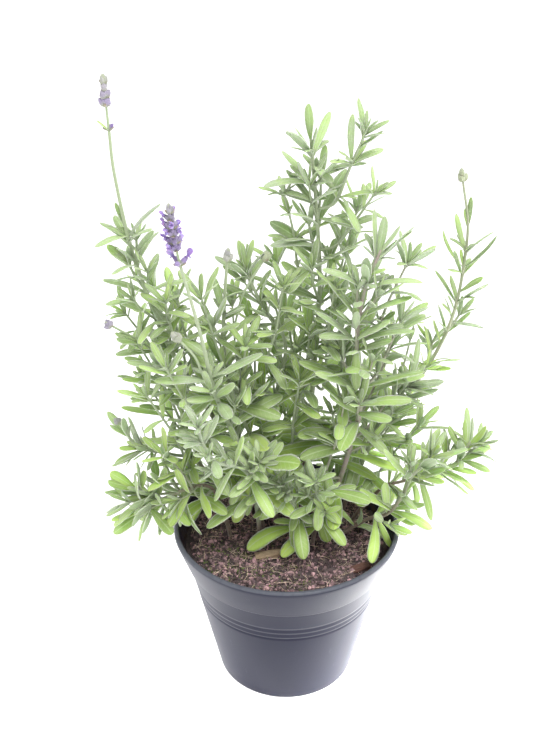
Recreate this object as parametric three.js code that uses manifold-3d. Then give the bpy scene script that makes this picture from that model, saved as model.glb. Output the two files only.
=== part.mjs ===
// A lavender plant growing in a plastic nursery pot, in millimetres, +Z up.
// The origin is the centre of the pot's foot, on the surface that the pot stands on; -Y is the front.
//
// The pot is a thin tapered shell with a flared collar, three fine ridges and drain holes. The potting
// soil fills it to just under the rim. Every leafy stem is one solid that stands in a plain hole in the
// soil: a square tapered stem that carries pairs of leaves, each pair turned a quarter round from the
// last, and side shoots in the angles of the leaves. Flower heads sit on the ends of bare stalks. A leaf
// or shoot that would cross another stem's solid is bent clear of it.
import * as THREE from "three";
import { mergeVertices } from "three/addons/utils/BufferGeometryUtils.js";
import Module from "manifold-3d";

const wasm = await Module();
wasm.setup();

// ---- driving dimensions ----
const POT = {
  height: 97,
  footRadius: 40,
  rimRadius: 65,
  rimWidth: 2.6,
  collarFoot: 75,
  collarFootRadius: 58,
  collarStep: 1.2,
  wall: 1.6,
  floor: 2,
  segments: 32,
};
const RIDGES = { heights: [56, 59.8, 63.6], depth: 0.5, rise: 1.2 };
const DRAIN = { count: 6, ring: 25, radius: 4, sides: 8 };
const SOIL = { top: 86.5, lump: 0.8, segments: 24, edgeDrop: 2.2, holeDepth: 18 };
const UPRIGHT = 2.5; // how far a stem stands straight out of the soil
const GAP = 0.3; // between two solids that touch in the real plant and pot
const CLEAR = 0.5; // kept between a leaf or shoot and another stem's solid
const CLEAR_OWN = 0.2; // kept between a leaf or shoot and the rest of its own stem

// The outline of a leaf: how far along it, and how wide there as a share of its greatest width.
const BROAD_OUTLINE = [[0, 0.26], [0.33, 0.66], [0.7, 1], [0.93, 0.66], [1, 0]];
const NARROW_OUTLINE = [[0, 0.4], [0.45, 1], [0.86, 0.7], [1, 0]];
const KEEL = 0.95; // thickness of a leaf along its midrib
const NODE = 1.2; // how much of a stem's height the root of a leaf takes up
const AXIL = 1.4; // and, above it, the foot of a side shoot
const SHOOT_RADIUS = [0.95, 0.65];
const LONG_SPAN = 30; // between the rings of a bare stalk
const STEM_SIDES = 4;
const HEAD_SIDES = 5;

// What a leaf or shoot tries in turn until it is clear: degrees round the stem, degrees further
// open, and its length as a share.
const BENDS = [
  [0, 0, 1], [12, 0, 1], [-12, 0, 1], [0, -12, 1], [0, 14, 1], [24, 0, 1], [-24, 0, 1],
  [16, -14, 1], [-16, -14, 1], [36, 8, 0.9], [-36, 8, 0.9], [0, -22, 0.85], [0, 26, 0.85],
  [50, 0, 0.8], [-50, 0, 0.8], [24, -20, 0.7], [-24, -20, 0.7], [0, 0, 0.55],
];

// ---- the leafy stems ----
// route: where it leaves the soil, then points that it passes through. radius: at its foot and its tip.
// pairs of leaves stand from share "from" to share "to" of its length above the soil. leafLong, leafWide (a share of
// the length), open (degrees from the stem) and arch (degrees that the blade curves back) run from the
// lowest pair to the highest. shoots: one in an axil of each pair in the list, on alternate sides.
// stalks: bare ones, each from an axil of a pair to a point, with a flower head on its end.
const USUAL = {
  radius: [1.8, 0.9], from: 0.16, to: 0.96, leafLong: [36, 17], leafWide: [0.23, 0.17],
  open: [72, 24], arch: [46, 16], turn: 20, stalks: [],
};
const STEMS = [
  {
    name: "stem_front_centre", turn: 12, route: [[3, -10], [7, -12, 106], [3, -18, 124], [-3, -22, 138]],
    from: 0.24, pairs: 5, leafLong: [30, 14], leafWide: [0.28, 0.26], open: [80, 30], arch: [60, 18],
    shoots: { at: [1, 2], long: [16, 10], pairs: 1, leafLong: 14 },
  },
  {
    name: "stem_front_right", turn: 30, route: [[15, -8], [18, -15, 112], [17, -22, 128], [15, -26, 142]],
    from: 0.24, pairs: 5, leafLong: [28, 14], leafWide: [0.28, 0.24], open: [80, 30], arch: [56, 18],
    shoots: { at: [1, 2], long: [16, 10], pairs: 1, leafLong: 14 },
  },
  {
    name: "stem_front_left", turn: 38, route: [[-4, 2], [-12, -8, 124], [-16, -18, 142], [-15, -24, 154]],
    from: 0.3, pairs: 4, leafLong: [36, 16], leafWide: [0.28, 0.24], open: [84, 34], arch: [58, 20],
    shoots: { at: [1, 2], long: [18, 10], pairs: 1, leafLong: 16 },
  },
  {
    name: "stem_left_pale", turn: 35, radius: [1.7, 0.8],
    route: [[-15, -7], [-19, -14, 132], [-25, -22, 148], [-38, -30, 157], [-44, -36, 172], [-46, -39, 186]],
    from: 0.3, pairs: 6, leafLong: [30, 15], leafWide: [0.24, 0.2], open: [78, 26],
    shoots: { at: [2, 3], long: [14, 10], pairs: 1, leafLong: 12 },
  },
  {
    name: "stem_centre_broad", turn: 80, route: [[-8, 16], [-17, 8, 140], [-24, 2, 164], [-27, -4, 188]],
    from: 0.24, pairs: 5, leafLong: [40, 26], leafWide: [0.32, 0.24], open: [76, 30], arch: [36, 16],
    shoots: { at: [1, 3], long: [16, 12], pairs: 1, leafLong: 15 },
  },
  {
    name: "stem_purple_head", radius: [2, 0.95], turn: 10,
    route: [[-14, 8], [-24, 0, 140], [-34, -12, 176], [-39, -18, 195], [-43, -25, 224], [-48, -30, 251], [-52, -33, 270]],
    from: 0.16, to: 0.62, pairs: 5, leafLong: [32, 34], leafWide: [0.25, 0.2], open: [70, 52], arch: [40, 30],
    shoots: { at: [1, 2, 3], long: [22, 18], pairs: 2, leafLong: 15 },
    stalks: [{ pair: 4, to: [-54, -26, 226], radius: 0.85, bloom: "bud_front" }],
    bloom: "bloom_open",
  },
  {
    name: "stem_left_tall", radius: [2.1, 0.85], turn: 62,
    route: [[-22, 24], [-38, 15, 150], [-64, 5, 209], [-76, 0, 252], [-81, 0, 273], [-85, -5, 308], [-86, -5, 328]],
    from: 0.24, to: 0.765, pairs: 8, leafLong: [30, 24], leafWide: [0.22, 0.2], open: [64, 46], arch: [40, 46],
    shoots: { at: [1, 2, 3, 4, 5, 6], long: [28, 14], pairs: 2, leafLong: 15 },
    stalks: [{ pair: 2, to: [-90, -12, 228], radius: 0.75, bloom: "bud_left" }],
    bloom: "bloom_tall",
  },
  {
    name: "stem_right_front", turn: 5, radius: [1.6, 0.8],
    route: [[29, -6], [45, -8, 104], [56, -15, 113], [63, -20, 128], [68, -24, 145], [77, -28, 160]],
    from: 0.16, pairs: 7, leafLong: [26, 22], leafWide: [0.28, 0.22], open: [70, 24], arch: [40, 12],
    shoots: { at: [1, 3], long: [16, 10], pairs: 1, leafLong: 15 },
  },
  {
    name: "stem_right_low", turn: 38, radius: [1.6, 0.8],
    route: [[38, 10], [54, 4, 117], [66, 0, 125], [86, -4, 135], [95, -5, 142], [101, -5, 154]],
    from: 0.24, pairs: 6, leafLong: [26, 22], leafWide: [0.26, 0.24], open: [62, 26], arch: [30, 14],
    shoots: { at: [2, 3], long: [20, 14], pairs: 1, leafLong: 17 },
  },
  {
    name: "stem_left_rim", turn: 25, radius: [1.6, 0.8],
    route: [[-33, 0], [-42, -6, 124], [-57, -15, 129], [-72, -20, 126], [-82, -22, 134]],
    from: 0.36, pairs: 5, leafLong: [26, 21], leafWide: [0.3, 0.28], open: [66, 34], arch: [34, 14],
    shoots: { at: [1, 2], long: [20, 16], pairs: 1, leafLong: 20 },
  },
  {
    name: "stem_left_mid", turn: 0, route: [[-31, 14], [-40, 0, 150], [-53, -10, 182], [-64, -14, 206]],
    from: 0.2, pairs: 6, leafLong: [30, 20], leafWide: [0.2, 0.16],
    shoots: { at: [2, 3], long: [20, 14], pairs: 1, leafLong: 14 },
  },
  {
    name: "stem_left_low", turn: 62, route: [[-38, 26], [-50, 8, 132], [-65, 0, 143], [-82, -5, 151], [-91, -6, 166]],
    from: 0.2, to: 0.9, pairs: 6, leafLong: [30, 20], leafWide: [0.24, 0.2],
    shoots: { at: [2, 3], long: [18, 12], pairs: 1, leafLong: 13 }, bloom: "bud_low",
  },
  {
    name: "stem_centre_tall", radius: [2.2, 0.9], turn: 55,
    route: [[6, 30], [13, 25, 150], [16, 20, 204], [17, 15, 242], [15, 12, 277], [11, 9, 320]],
    from: 0.14, pairs: 9, leafLong: [30, 30], leafWide: [0.26, 0.18], open: [66, 30], arch: [34, 30],
    shoots: { at: [1, 2, 3, 4, 5, 6], long: [30, 24], pairs: 2, leafLong: 18 },
  },
  {
    name: "stem_right_purple", radius: [2.1, 0.9], turn: 70,
    route: [[22, 6], [34, 2, 140], [40, -5, 181], [36, -8, 215], [39, -10, 248], [46, -12, 270]],
    from: 0.16, pairs: 8, leafLong: [38, 26], leafWide: [0.25, 0.15], open: [74, 22], arch: [36, 14],
    shoots: { at: [2, 3, 4, 5], long: [24, 18], pairs: 2, leafLong: 18 },
  },
  {
    name: "stem_right_mid", turn: 15, route: [[33, 20], [48, 15, 140], [57, 10, 168], [68, 6, 184]],
    from: 0.14, pairs: 6, leafLong: [34, 26], leafWide: [0.25, 0.17],
    shoots: { at: [1, 2, 3], long: [22, 14], pairs: 1, leafLong: 16 },
  },
  {
    name: "stem_right_stalk", radius: [1.8, 0.75], turn: 40,
    route: [[30, 40], [59, 40, 138], [73, 45, 158], [88, 48, 185], [96, 50, 209], [99, 50, 236], [99, 48, 261], [94, 45, 286]],
    from: 0.16, to: 0.8, pairs: 8, leafLong: [22, 24], leafWide: [0.13, 0.15], open: [46, 32], arch: [16, 12],
    shoots: { at: [0, 1, 2, 3, 4], long: [20, 12], pairs: 2, leafLong: 15 }, bloom: "bud_right",
  },
  {
    name: "stem_centre_left", turn: 66, route: [[-6, 32], [-7, 22, 160], [-1, 15, 204], [-14, 12, 230], [-22, 10, 250]],
    from: 0.16, pairs: 7, leafLong: [34, 20], leafWide: [0.26, 0.16], open: [68, 24],
    shoots: { at: [2, 3, 4], long: [22, 14], pairs: 1, leafLong: 15 },
  },
  {
    name: "stem_left_inner", turn: 28, route: [[-24, 34], [-30, 20, 156], [-34, 8, 205], [-33, 2, 236], [-31, -3, 260]],
    from: 0.16, to: 0.8, pairs: 6, leafLong: [34, 20], leafWide: [0.22, 0.18], open: [66, 32],
    shoots: { at: [2, 3, 4], long: [22, 14], pairs: 1, leafLong: 15 },
    stalks: [{ pair: 4, to: [-13, 2, 258], radius: 0.7, bloom: "bud_inner" }], bloom: "bud_upper",
  },
  {
    name: "stem_centre_right", turn: 44, route: [[18, 24], [26, 14, 140], [31, 8, 178], [28, 4, 206]],
    pairs: 6, leafLong: [36, 20], leafWide: [0.28, 0.2],
    shoots: { at: [2, 3, 4], long: [20, 14], pairs: 1, leafLong: 15 },
  },
  {
    name: "stem_back_left", turn: 18, route: [[-22, 46], [-34, 54, 130], [-44, 60, 168]],
    pairs: 6, leafLong: [36, 20], leafWide: [0.26, 0.2],
    shoots: { at: [2, 3], long: [18, 12], pairs: 1, leafLong: 14 },
  },
  {
    name: "stem_back_centre", turn: 36, route: [[2, 50], [2, 60, 132], [-4, 66, 178]],
    pairs: 6, leafLong: [36, 20], leafWide: [0.26, 0.2],
    shoots: { at: [2, 3], long: [18, 12], pairs: 1, leafLong: 14 },
  },
  {
    name: "stem_back_right", turn: 58, route: [[20, 46], [34, 58, 126], [46, 66, 160]],
    pairs: 6, leafLong: [34, 20], leafWide: [0.26, 0.2],
    shoots: { at: [2, 3], long: [18, 12], pairs: 1, leafLong: 14 },
  },
];

// ---- the flower heads ----
// rings of calyces: how far up the head in mm, how many, degrees that they lean out. calyx: its length
// and its greatest radius. petals: the share of calyces with a flower out.
const HEADS = {
  bloom_open: {
    rings: [[0.8, 3, 50], [9, 4, 44], [13, 4, 44], [17, 4, 42], [21, 4, 38], [25, 3, 32], [29, 3, 22]],
    calyx: [5.6, 1.05], petals: 0.7,
  },
  bloom_tall: { rings: [[0.6, 2, 34], [12, 3, 32], [15.5, 3, 28], [19, 2, 22], [22, 3, 16]], calyx: [5.6, 1.1], petals: 0 },
  bud_left: { rings: [[0.6, 3, 30]], calyx: [5, 1.2], petals: 0 },
  bud_front: { rings: [[0.6, 3, 26], [3, 2, 18]], calyx: [5, 1.2], petals: 0 },
  bud_low: { rings: [[0.6, 3, 28]], calyx: [4, 1.1], petals: 0 },
  bud_right: { rings: [[0.6, 3, 30], [3.4, 2, 18]], calyx: [5, 1.3], petals: 0 },
  bud_upper: { rings: [[0.6, 3, 26], [3.4, 2, 16]], calyx: [5, 1.3], petals: 0 },
  bud_inner: { rings: [[0.6, 3, 20]], calyx: [6, 1.2], petals: 0 },
};
const HEAD_CORE = [0.85, 0.55];
const LIP = { open: 30, long: 4.6, wide: 3.6, arch: 40, from: 0.66 };
const LIP_OUTLINE = [[0, 0.2], [0.6, 1], [1, 0]];

// ---- wood chips and a clod on the soil: centre, size, turn in degrees ----
const CHIPS = [
  { name: "chip_pale", at: [-10, -19], size: [19, 6, 3], turn: 14 },
  { name: "chip_bark", at: [41, -30], size: [14, 6, 3.4], turn: 24 },
  { name: "clod", at: [1, 12], size: [8, 6, 6], turn: 50 },
];

// ---- colours and roughness ----
const COLOURS = {
  pot: [0x5c5f70, 0.5],
  soil: [0x3b2c25, 1],
  leaf: [0x86a96c, 0.8],
  bloom: [0x7f6fb4, 0.8],
  bud: [0x9a9f8c, 0.85],
  chip: [0xb59a72, 0.9],
};

// ---- solids ----
const RAD = Math.PI / 180;

// A closed geometry as a solid that can be joined and cut.
function solidOf(geometry) {
  const plain = new THREE.BufferGeometry()
    .setAttribute("position", geometry.getAttribute("position"))
    .setIndex(geometry.index);
  const merged = mergeVertices(plain, 1e-4);
  return new wasm.Manifold(new wasm.Mesh({
    numProp: 3,
    vertProperties: new Float32Array(merged.attributes.position.array),
    triVerts: new Uint32Array(merged.index.array),
  }));
}

function geometryOf(solid) {
  const mesh = solid.getMesh();
  return new THREE.BufferGeometry()
    .setAttribute("position", new THREE.BufferAttribute(mesh.vertProperties.slice(0, mesh.numVert * 3), 3))
    .setIndex(new THREE.BufferAttribute(mesh.triVerts, 1));
}

// Skins a row of rings, each counter-clockwise about the way the row runs. A ring of one point is a tip.
function loft(rings) {
  const positions = rings.flat().flatMap((p) => [p.x, p.y, p.z]);
  const faces = [];
  let start = 0;
  for (let k = 0; k < rings.length - 1; k++) {
    const count = rings[k].length;
    const beyond = rings[k + 1].length;
    const after = start + count;
    for (let j = 0; j < Math.max(count, beyond); j++) {
      const [a0, a1] = [start + (j % count), start + ((j + 1) % count)];
      const [b0, b1] = [after + (j % beyond), after + ((j + 1) % beyond)];
      if (count > 1) faces.push(a0, a1, b1);
      if (beyond > 1) faces.push(a0, b1, b0);
    }
    start = after;
  }
  for (let j = 1; j < rings[0].length - 1; j++) faces.push(0, j + 1, j);
  for (let j = 1; j < rings.at(-1).length - 1; j++) faces.push(start, start + j, start + j + 1);
  return new THREE.BufferGeometry()
    .setAttribute("position", new THREE.Float32BufferAttribute(positions, 3))
    .setIndex(faces);
}

// Draws that repeat from one run to the next.
function randomFrom(seed) {
  let state = seed >>> 0;
  return () => {
    state = (state + 0x6d2b79f5) >>> 0;
    let t = Math.imul(state ^ (state >>> 15), state | 1);
    t = (t + Math.imul(t ^ (t >>> 7), t | 61)) ^ t;
    return ((t ^ (t >>> 14)) >>> 0) / 4294967296;
  };
}

const mix = (pair, x) => pair[0] + (pair[1] - pair[0]) * x;
const vector = (p) => new THREE.Vector3(p[0], p[1], p[2]);
const sum = (p, ...terms) => {
  const total = p.clone();
  for (const [v, share] of terms) total.addScaledVector(v, share);
  return total;
};

// ---- a stem's centre line ----
// Points along a smooth curve through the route, each with its distance from the start, the stem's
// direction there and a side that doesn't twist.
function centreLine(points, steps, side) {
  const curve = new THREE.CatmullRomCurve3(points, false, "catmullrom", 0.5);
  const line = [];
  for (let i = 0; i <= steps; i++) {
    const p = curve.getPoint(i / steps);
    const s = i ? line[i - 1].s + p.distanceTo(line[i - 1].p) : 0;
    line.push({ p, s });
  }
  let across = side;
  line.forEach((here, i) => {
    const before = line[Math.max(0, i - 1)].p;
    const beyond = line[Math.min(steps, i + 1)].p;
    here.t = beyond.clone().sub(before).normalize();
    across = sum(across, [here.t, -across.dot(here.t)]).normalize();
    here.a = across;
  });
  return line;
}

const lengthOf = (line) => line.at(-1).s;

// The centre line's point, direction and sides at a distance from its start.
function at(line, s) {
  let i = 0;
  while (i < line.length - 2 && line[i + 1].s < s) i++;
  const [u, v] = [line[i], line[i + 1]];
  const x = (s - u.s) / (v.s - u.s);
  const p = u.p.clone().lerp(v.p, x);
  const t = u.t.clone().lerp(v.t, x).normalize();
  const a = u.a.clone().lerp(v.a, x);
  const side = sum(a, [t, -a.dot(t)]).normalize();
  return { p, t, a: side, b: t.clone().cross(side) };
}

const sideAt = (here, degrees) =>
  sum(here.a.clone().multiplyScalar(Math.cos(degrees * RAD)), [here.b, Math.sin(degrees * RAD)]);

// The corners of a stem's section, counter-clockwise. With four, side k faces the azimuth turn + 90 k.
function corners(here, turn, radius, count = STEM_SIDES) {
  const step = 360 / count;
  return Array.from({ length: count }, (_, k) => sum(here.p, [sideAt(here, turn + (k - 0.5) * step), radius]));
}

// A closed tube along a centre line, with a ring at each distance.
const tube = (line, turn, distances, radiusAt) =>
  loft(distances.map((s) => corners(at(line, s), turn, radiusAt(s))));

// ---- a leaf ----
// root, out (the way it leaves the stem), up (its upper side's normal there), long, wide, arch.
// Its section is a triangle: left margin, keel, right margin. grow widens and thickens it all round.
function leafRings(leaf, outline, grow = 0) {
  const across = leaf.out.clone().cross(leaf.up);
  const bend = leaf.arch * RAD;
  return outline.map(([x, share]) => {
    const turned = bend * x;
    const along = Math.sin(turned) / bend;
    const fall = (1 - Math.cos(turned)) / bend;
    const centre = sum(leaf.root, [leaf.out, along * leaf.long], [leaf.up, -fall * leaf.long]);
    if (share === 0 && !grow) return [centre];
    const up = sum(leaf.up.clone().multiplyScalar(Math.cos(turned)), [leaf.out, Math.sin(turned)]);
    const half = (share * leaf.wide) / 2 + grow;
    const raised = sum(centre, [up, grow]);
    const keel = (share && KEEL) + grow;
    return [sum(raised, [across, half]), sum(centre, [up, -keel]), sum(raised, [across, -half])];
  });
}

// The part of an outline that lies clear of the leaf's root.
const beyondRoot = ([root, first, ...others]) => [[first[0] / 2, (root[1] + first[1]) / 2], first, ...others];

// The leaf that a stem bears at a place: azimuth degrees round the stem, opening degrees from it.
function leafAt(here, azimuth, opening, long, wide, arch) {
  const side = sideAt(here, azimuth);
  const cos = Math.cos(opening * RAD);
  const sin = Math.sin(opening * RAD);
  const out = sum(here.t.clone().multiplyScalar(cos), [side, sin]);
  const up = sum(here.t.clone().multiplyScalar(sin), [side, -cos]);
  return { root: here.p, out, up, long, wide, arch };
}

// ---- keeping the stems clear of each other ----
const standing = []; // every piece so far: its node, its solid and its box

function boxOf(solid) {
  const { min, max } = solid.boundingBox();
  return new THREE.Box3(vector(min), vector(max));
}

function stand(node, solid) {
  standing.push({ node, solid, box: boxOf(solid) });
  return solid;
}

// Whether a shape meets none of the pieces that "counts" picks out.
function isClear(geometry, counts) {
  const solid = solidOf(geometry);
  const box = boxOf(solid);
  return !standing.some((piece) => {
    if (!counts(piece.node) || !piece.box.intersectsBox(box)) return false;
    return !solid.intersect(piece.solid).isEmpty();
  });
}

// The first bend in which a piece clears the other stems all along and its own stem beyond the root.
// make(bend) gives its shape as shape(grow, fromRoot). The piece stands there from then on.
function clearBend(name, make) {
  for (const bend of BENDS) {
    const shape = make(bend);
    if (!isClear(shape(CLEAR, true), (node) => node !== name)) continue;
    if (!isClear(shape(CLEAR_OWN, false), (node) => node === name)) continue;
    stand(name, solidOf(shape(0, true)));
    return bend;
  }
  return null;
}

// ---- leafy stems ----
// The place of a pair of leaves on its stem: the pairs stand closer towards the tip.
function placeOf(line, plan, i) {
  const x = plan.pairs > 1 ? i / (plan.pairs - 1) : 1;
  const s = mix([plan.start, lengthOf(line)], mix([plan.from, plan.to], 1 - Math.pow(1 - x, 1.2)));
  return { here: at(line, s), azimuth: plan.turn + 90 * i, x, s };
}

// Pairs of leaves along a stem, each pair a quarter turn on from the last. Each leaf's draws come
// from its own seed. A leaf that no bend clears is left out.
function growPairs(name, stem, plan, seed) {
  return Array.from({ length: plan.pairs }, (_, i) => {
    const { here, azimuth, x, s } = placeOf(stem.line, plan, i);
    const leaves = [0, 1].map((half) => {
      const draw = randomFrom(seed + plan.seedStep * i + half);
      const jitter = [draw(), draw(), draw(), draw()].map((r) => 2 * r - 1);
      const long = mix(plan.leafLong, x) * (1 + 0.14 * jitter[0]);
      const wide = long * mix(plan.leafWide, x);
      const arch = Math.max(4, mix(plan.arch, x) + 12 * jitter[3]);
      const leafIn = ([turn, open, share]) => leafAt(
        here, azimuth + 180 * half + 14 * jitter[1] + turn,
        mix(plan.open, x) + 9 * jitter[2] + open, long * share, wide, arch,
      );
      const bend = clearBend(name, (tried) => (grow, fromRoot) =>
        loft(leafRings(leafIn(tried), fromRoot ? plan.outline : beyondRoot(plan.outline), grow)));
      return bend && leafRings(leafIn(bend), plan.outline.slice(1));
    });
    return { s, leaves, shoots: [null, null] };
  });
}

// A side shoot's centre line, from the axil above a leaf.
function shootLine(place, half, [turn, open, share], opening, reach) {
  const { root, out, up } = leafAt(place, half + turn, opening + open, 1, 1, 1);
  const along = reach * share;
  const middle = sum(root, [out, along * 0.55], [up, along * 0.04]);
  const end = sum(root, [out, along * 0.97], [up, along * 0.16]);
  return centreLine([root, middle, end], 6, up.clone().cross(out));
}

// A short side shoot in the axil of a leaf, with leaves of its own.
function growShoot(stem, i, half, seed) {
  const { at: axils, long, pairs, leafLong } = stem.shoots;
  const { azimuth, x, s } = placeOf(stem.line, stem, i);
  const draw = randomFrom(seed);
  const rank = (i - axils[0]) / Math.max(1, axils.at(-1) - axils[0]);
  const reach = mix(long, rank) * (0.85 + 0.3 * draw());
  const opening = mix(stem.open, x) * (0.5 + 0.15 * draw());
  const axil = at(stem.line, s + (NODE + AXIL) / 2);
  const lineIn = (bend) => shootLine(axil, azimuth + 180 * half, bend, opening, reach);
  const bend = clearBend(stem.name, (tried) => (grow, fromRoot) => {
    const line = lineIn(tried);
    const distances = [fromRoot ? 0 : 0.25, 0.6, 1].map((share) => share * lengthOf(line));
    return tube(line, 0, distances, () => SHOOT_RADIUS[0] + grow);
  });
  if (!bend) return null;
  const shoot = { line: lineIn(bend), radius: SHOOT_RADIUS, turn: 0, pointed: true };
  shoot.nodes = growPairs(stem.name, shoot, {
    pairs, start: 0, from: pairs > 1 ? 0.5 : 0.84, to: 0.88, turn: 0, outline: NARROW_OUTLINE, seedStep: 2,
    leafLong: [leafLong * 1.1, leafLong * 0.9], leafWide: [0.21, 0.19], open: [46, 24], arch: [26, 12],
  }, seed + 10 + 10 * half);
  return shoot;
}

// A stem's centre line and the hole that it stands in.
function plantStem(given) {
  const start = SOIL.holeDepth + UPRIGHT;
  const stem = { ...USUAL, outline: BROAD_OUTLINE, seedStep: 100, start, pointed: !given.bloom, ...given };
  const [[x, y], ...above] = stem.route;
  const foot = SOIL.top - SOIL.holeDepth;
  const points = [[x, y, foot], [x, y, SOIL.top + UPRIGHT], ...above].map(vector);
  stem.line = centreLine(points, 10 * (points.length - 1), new THREE.Vector3(1, 0, 0));
  const length = lengthOf(stem.line);
  const radiusAt = (s) => mix(stem.radius, s / length);
  const bore = (s) => radiusAt(s) + 1.5 * GAP;
  stem.hole = solidOf(loft([-GAP, start].map((s) => corners(at(stem.line, s), stem.turn, bore(s)))));
  const places = Array.from({ length: stem.pairs }, (_, i) => placeOf(stem.line, stem, i).s);
  stand(stem.name, solidOf(tube(stem.line, stem.turn, [0, start, ...places, length], radiusAt)));
  return stem;
}

// ---- the skin of a stem with its leaves and shoots ----
const put = (skin, points) => points.map((p) => skin.points.push(p) - 1);

function span(skin, ring) {
  for (let j = 1; j < ring.length - 1; j++) skin.faces.push(ring[0], ring[j], ring[j + 1]);
}

// Joins a ring to the next one along, or to a tip.
function join(skin, below, above) {
  below.forEach((corner, j) => {
    const k = (j + 1) % below.length;
    span(skin, above.length > 1 ? [corner, below[k], above[k], above[j]] : [corner, below[k], above[0]]);
  });
}

// A leaf that grows out of the opening between four corners of its stem.
function skinLeaf(skin, rings, [lowLeft, lowRight, highRight, highLeft]) {
  const [first, ...others] = rings.map((ring) => put(skin, ring));
  const [left, keel, right] = first;
  span(skin, [highLeft, lowLeft, keel, left]);
  span(skin, [lowLeft, lowRight, keel]);
  span(skin, [lowRight, highRight, right, keel]);
  span(skin, [highRight, highLeft, left, right]);
  let below = first;
  for (const ring of others) {
    join(skin, below, ring);
    below = ring;
  }
}

// A stem from its first ring to its tip. Where a leaf or a shoot grows, its side of the stem is left
// open and the leaf or shoot is joined to the edges of that opening.
function skinStem(skin, stem, foot) {
  const length = lengthOf(stem.line);
  let below = foot;
  const climb = (s, growing = []) => {
    const here = corners(at(stem.line, s), stem.turn, mix(stem.radius, s / length));
    const ring = put(skin, here);
    for (let k = 0; k < STEM_SIDES; k++) {
      const next = (k + 1) % STEM_SIDES;
      const side = [below[k], below[next], ring[next], ring[k]];
      if (growing[k]) growing[k](side);
      else span(skin, side);
    }
    below = ring;
  };
  let reached = stem.start ?? 0;
  stem.nodes.forEach(({ s, leaves, shoots }, i) => {
    const leafy = [];
    const branching = [];
    for (const half of [0, 1]) {
      const [leaf, shoot, k] = [leaves[half], shoots[half], (i + 2 * half) % STEM_SIDES];
      if (leaf) leafy[k] = (side) => skinLeaf(skin, leaf, side);
      if (shoot) branching[k] = ([a, b, c, d]) => skinStem(skin, shoot, [b, c, d, a]);
    }
    climb(s - NODE / 2);
    climb(s + NODE / 2, leafy);
    if (branching.length) climb(s + NODE / 2 + AXIL, branching);
    reached = s + NODE / 2 + AXIL;
  });
  while (length - reached > 1.5 * LONG_SPAN) {
    reached += LONG_SPAN;
    climb(reached);
  }
  if (stem.pointed) {
    join(skin, below, put(skin, [at(stem.line, length).p]));
    return;
  }
  climb(length);
  span(skin, below);
}

function stemGeometry(stem) {
  const skin = { points: [], faces: [] };
  const [foot, start] = [0, stem.start].map((s) =>
    put(skin, corners(at(stem.line, s), stem.turn, mix(stem.radius, s / lengthOf(stem.line)))));
  span(skin, [...foot].reverse());
  join(skin, foot, start);
  skinStem(skin, stem, start);
  return new THREE.BufferGeometry().setFromPoints(skin.points).setIndex(skin.faces);
}

// Where each head sits: the end of a stem or stalk and the way it points.
const seats = {};

// A bare stalk from the axil of a leaf, on the side nearer to its end, that carries a head.
function growStalk(stem, stalk) {
  const { azimuth, s } = placeOf(stem.line, stem, stalk.pair);
  const axil = at(stem.line, s + (NODE + AXIL) / 2);
  const end = vector(stalk.to);
  const way = end.clone().sub(axil.p);
  const half = way.dot(sideAt(axil, azimuth)) > 0 ? 0 : 1;
  const out = sideAt(axil, azimuth + 180 * half);
  const leaving = sum(axil.p, [axil.t, 0.12 * way.length()], [out, 0.12 * way.length()]);
  const middle = sum(axil.p.clone().lerp(end, 0.5), [axil.t, 0.08 * way.length()]);
  const line = centreLine([axil.p, leaving, middle, end], 12, axil.t.clone().cross(out));
  seats[stalk.bloom] = at(line, lengthOf(line));
  stand(stem.name, solidOf(tube(line, 0, [0, lengthOf(line)], () => stalk.radius)));
  return { line, half, radius: [stalk.radius, stalk.radius], turn: 0, nodes: stalkNodes(line), pointed: false };
}

// A stalk has rings but no leaves.
const stalkNodes = (line) => [0.25, 0.5, 0.75].map((share) => ({
  s: share * lengthOf(line), leaves: [null, null], shoots: [null, null],
}));

// ---- flower heads ----
// A calyx is a pointed bead; a flower that is out has an upper and a lower lip.
function headSolid(head, seat, seed) {
  const draw = randomFrom(seed);
  const foot = sum(seat.p, [seat.t, GAP]);
  const [calyx, radius] = head.calyx;
  const here = (s) => ({ ...seat, p: sum(foot, [seat.t, s]) });
  const top = head.rings.at(-1)[0] + 0.5;
  const round = (s, size) => corners(here(s), 0, size, HEAD_SIDES);
  const parts = [solidOf(loft([round(0, HEAD_CORE[0]), round(top, HEAD_CORE[1]), [here(top + calyx * 0.8).p]]))];
  head.rings.forEach(([s, count, lean], w) => {
    for (let k = 0; k < count; k++) {
      const azimuth = (360 * (k + 0.5 * (w % 2))) / count + 16 * draw();
      const bead = leafAt(here(s), azimuth, lean + 8 * draw(), calyx, 1, 1);
      const across = bead.out.clone().cross(bead.up);
      const belly = [90, 210, 330].map((turn) => sum(
        bead.root, [bead.out, 0.55 * bead.long],
        [bead.up, -radius * Math.sin(turn * RAD)], [across, radius * Math.cos(turn * RAD)],
      ));
      const tip = sum(bead.root, [bead.out, bead.long]);
      parts.push(solidOf(loft([[bead.root], belly, [tip]])));
      if (draw() >= head.petals) continue;
      const throat = { p: sum(bead.root, [bead.out, bead.long * LIP.from]), t: bead.out, a: bead.up, b: across };
      const lip = leafAt(throat, 0, LIP.open, LIP.long, LIP.wide, LIP.arch);
      parts.push(solidOf(loft(leafRings(lip, LIP_OUTLINE))));
    }
  });
  return wasm.Manifold.union(parts);
}

// ---- pot and soil ----
const bodyRadius = (z) => mix([POT.footRadius, POT.collarFootRadius - POT.collarStep], z / POT.collarFoot);

// The radius inside the pot, which runs straight from the floor to the collar and from there to the rim.
function innerRadius(z) {
  const collar = bodyRadius(POT.collarFoot) - POT.wall;
  if (z < POT.collarFoot) return mix([POT.footRadius - POT.wall, collar], (z - POT.floor) / (POT.collarFoot - POT.floor));
  return mix([collar, POT.rimRadius - POT.rimWidth], (z - POT.collarFoot) / (POT.height - 1 - POT.collarFoot));
}

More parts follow.
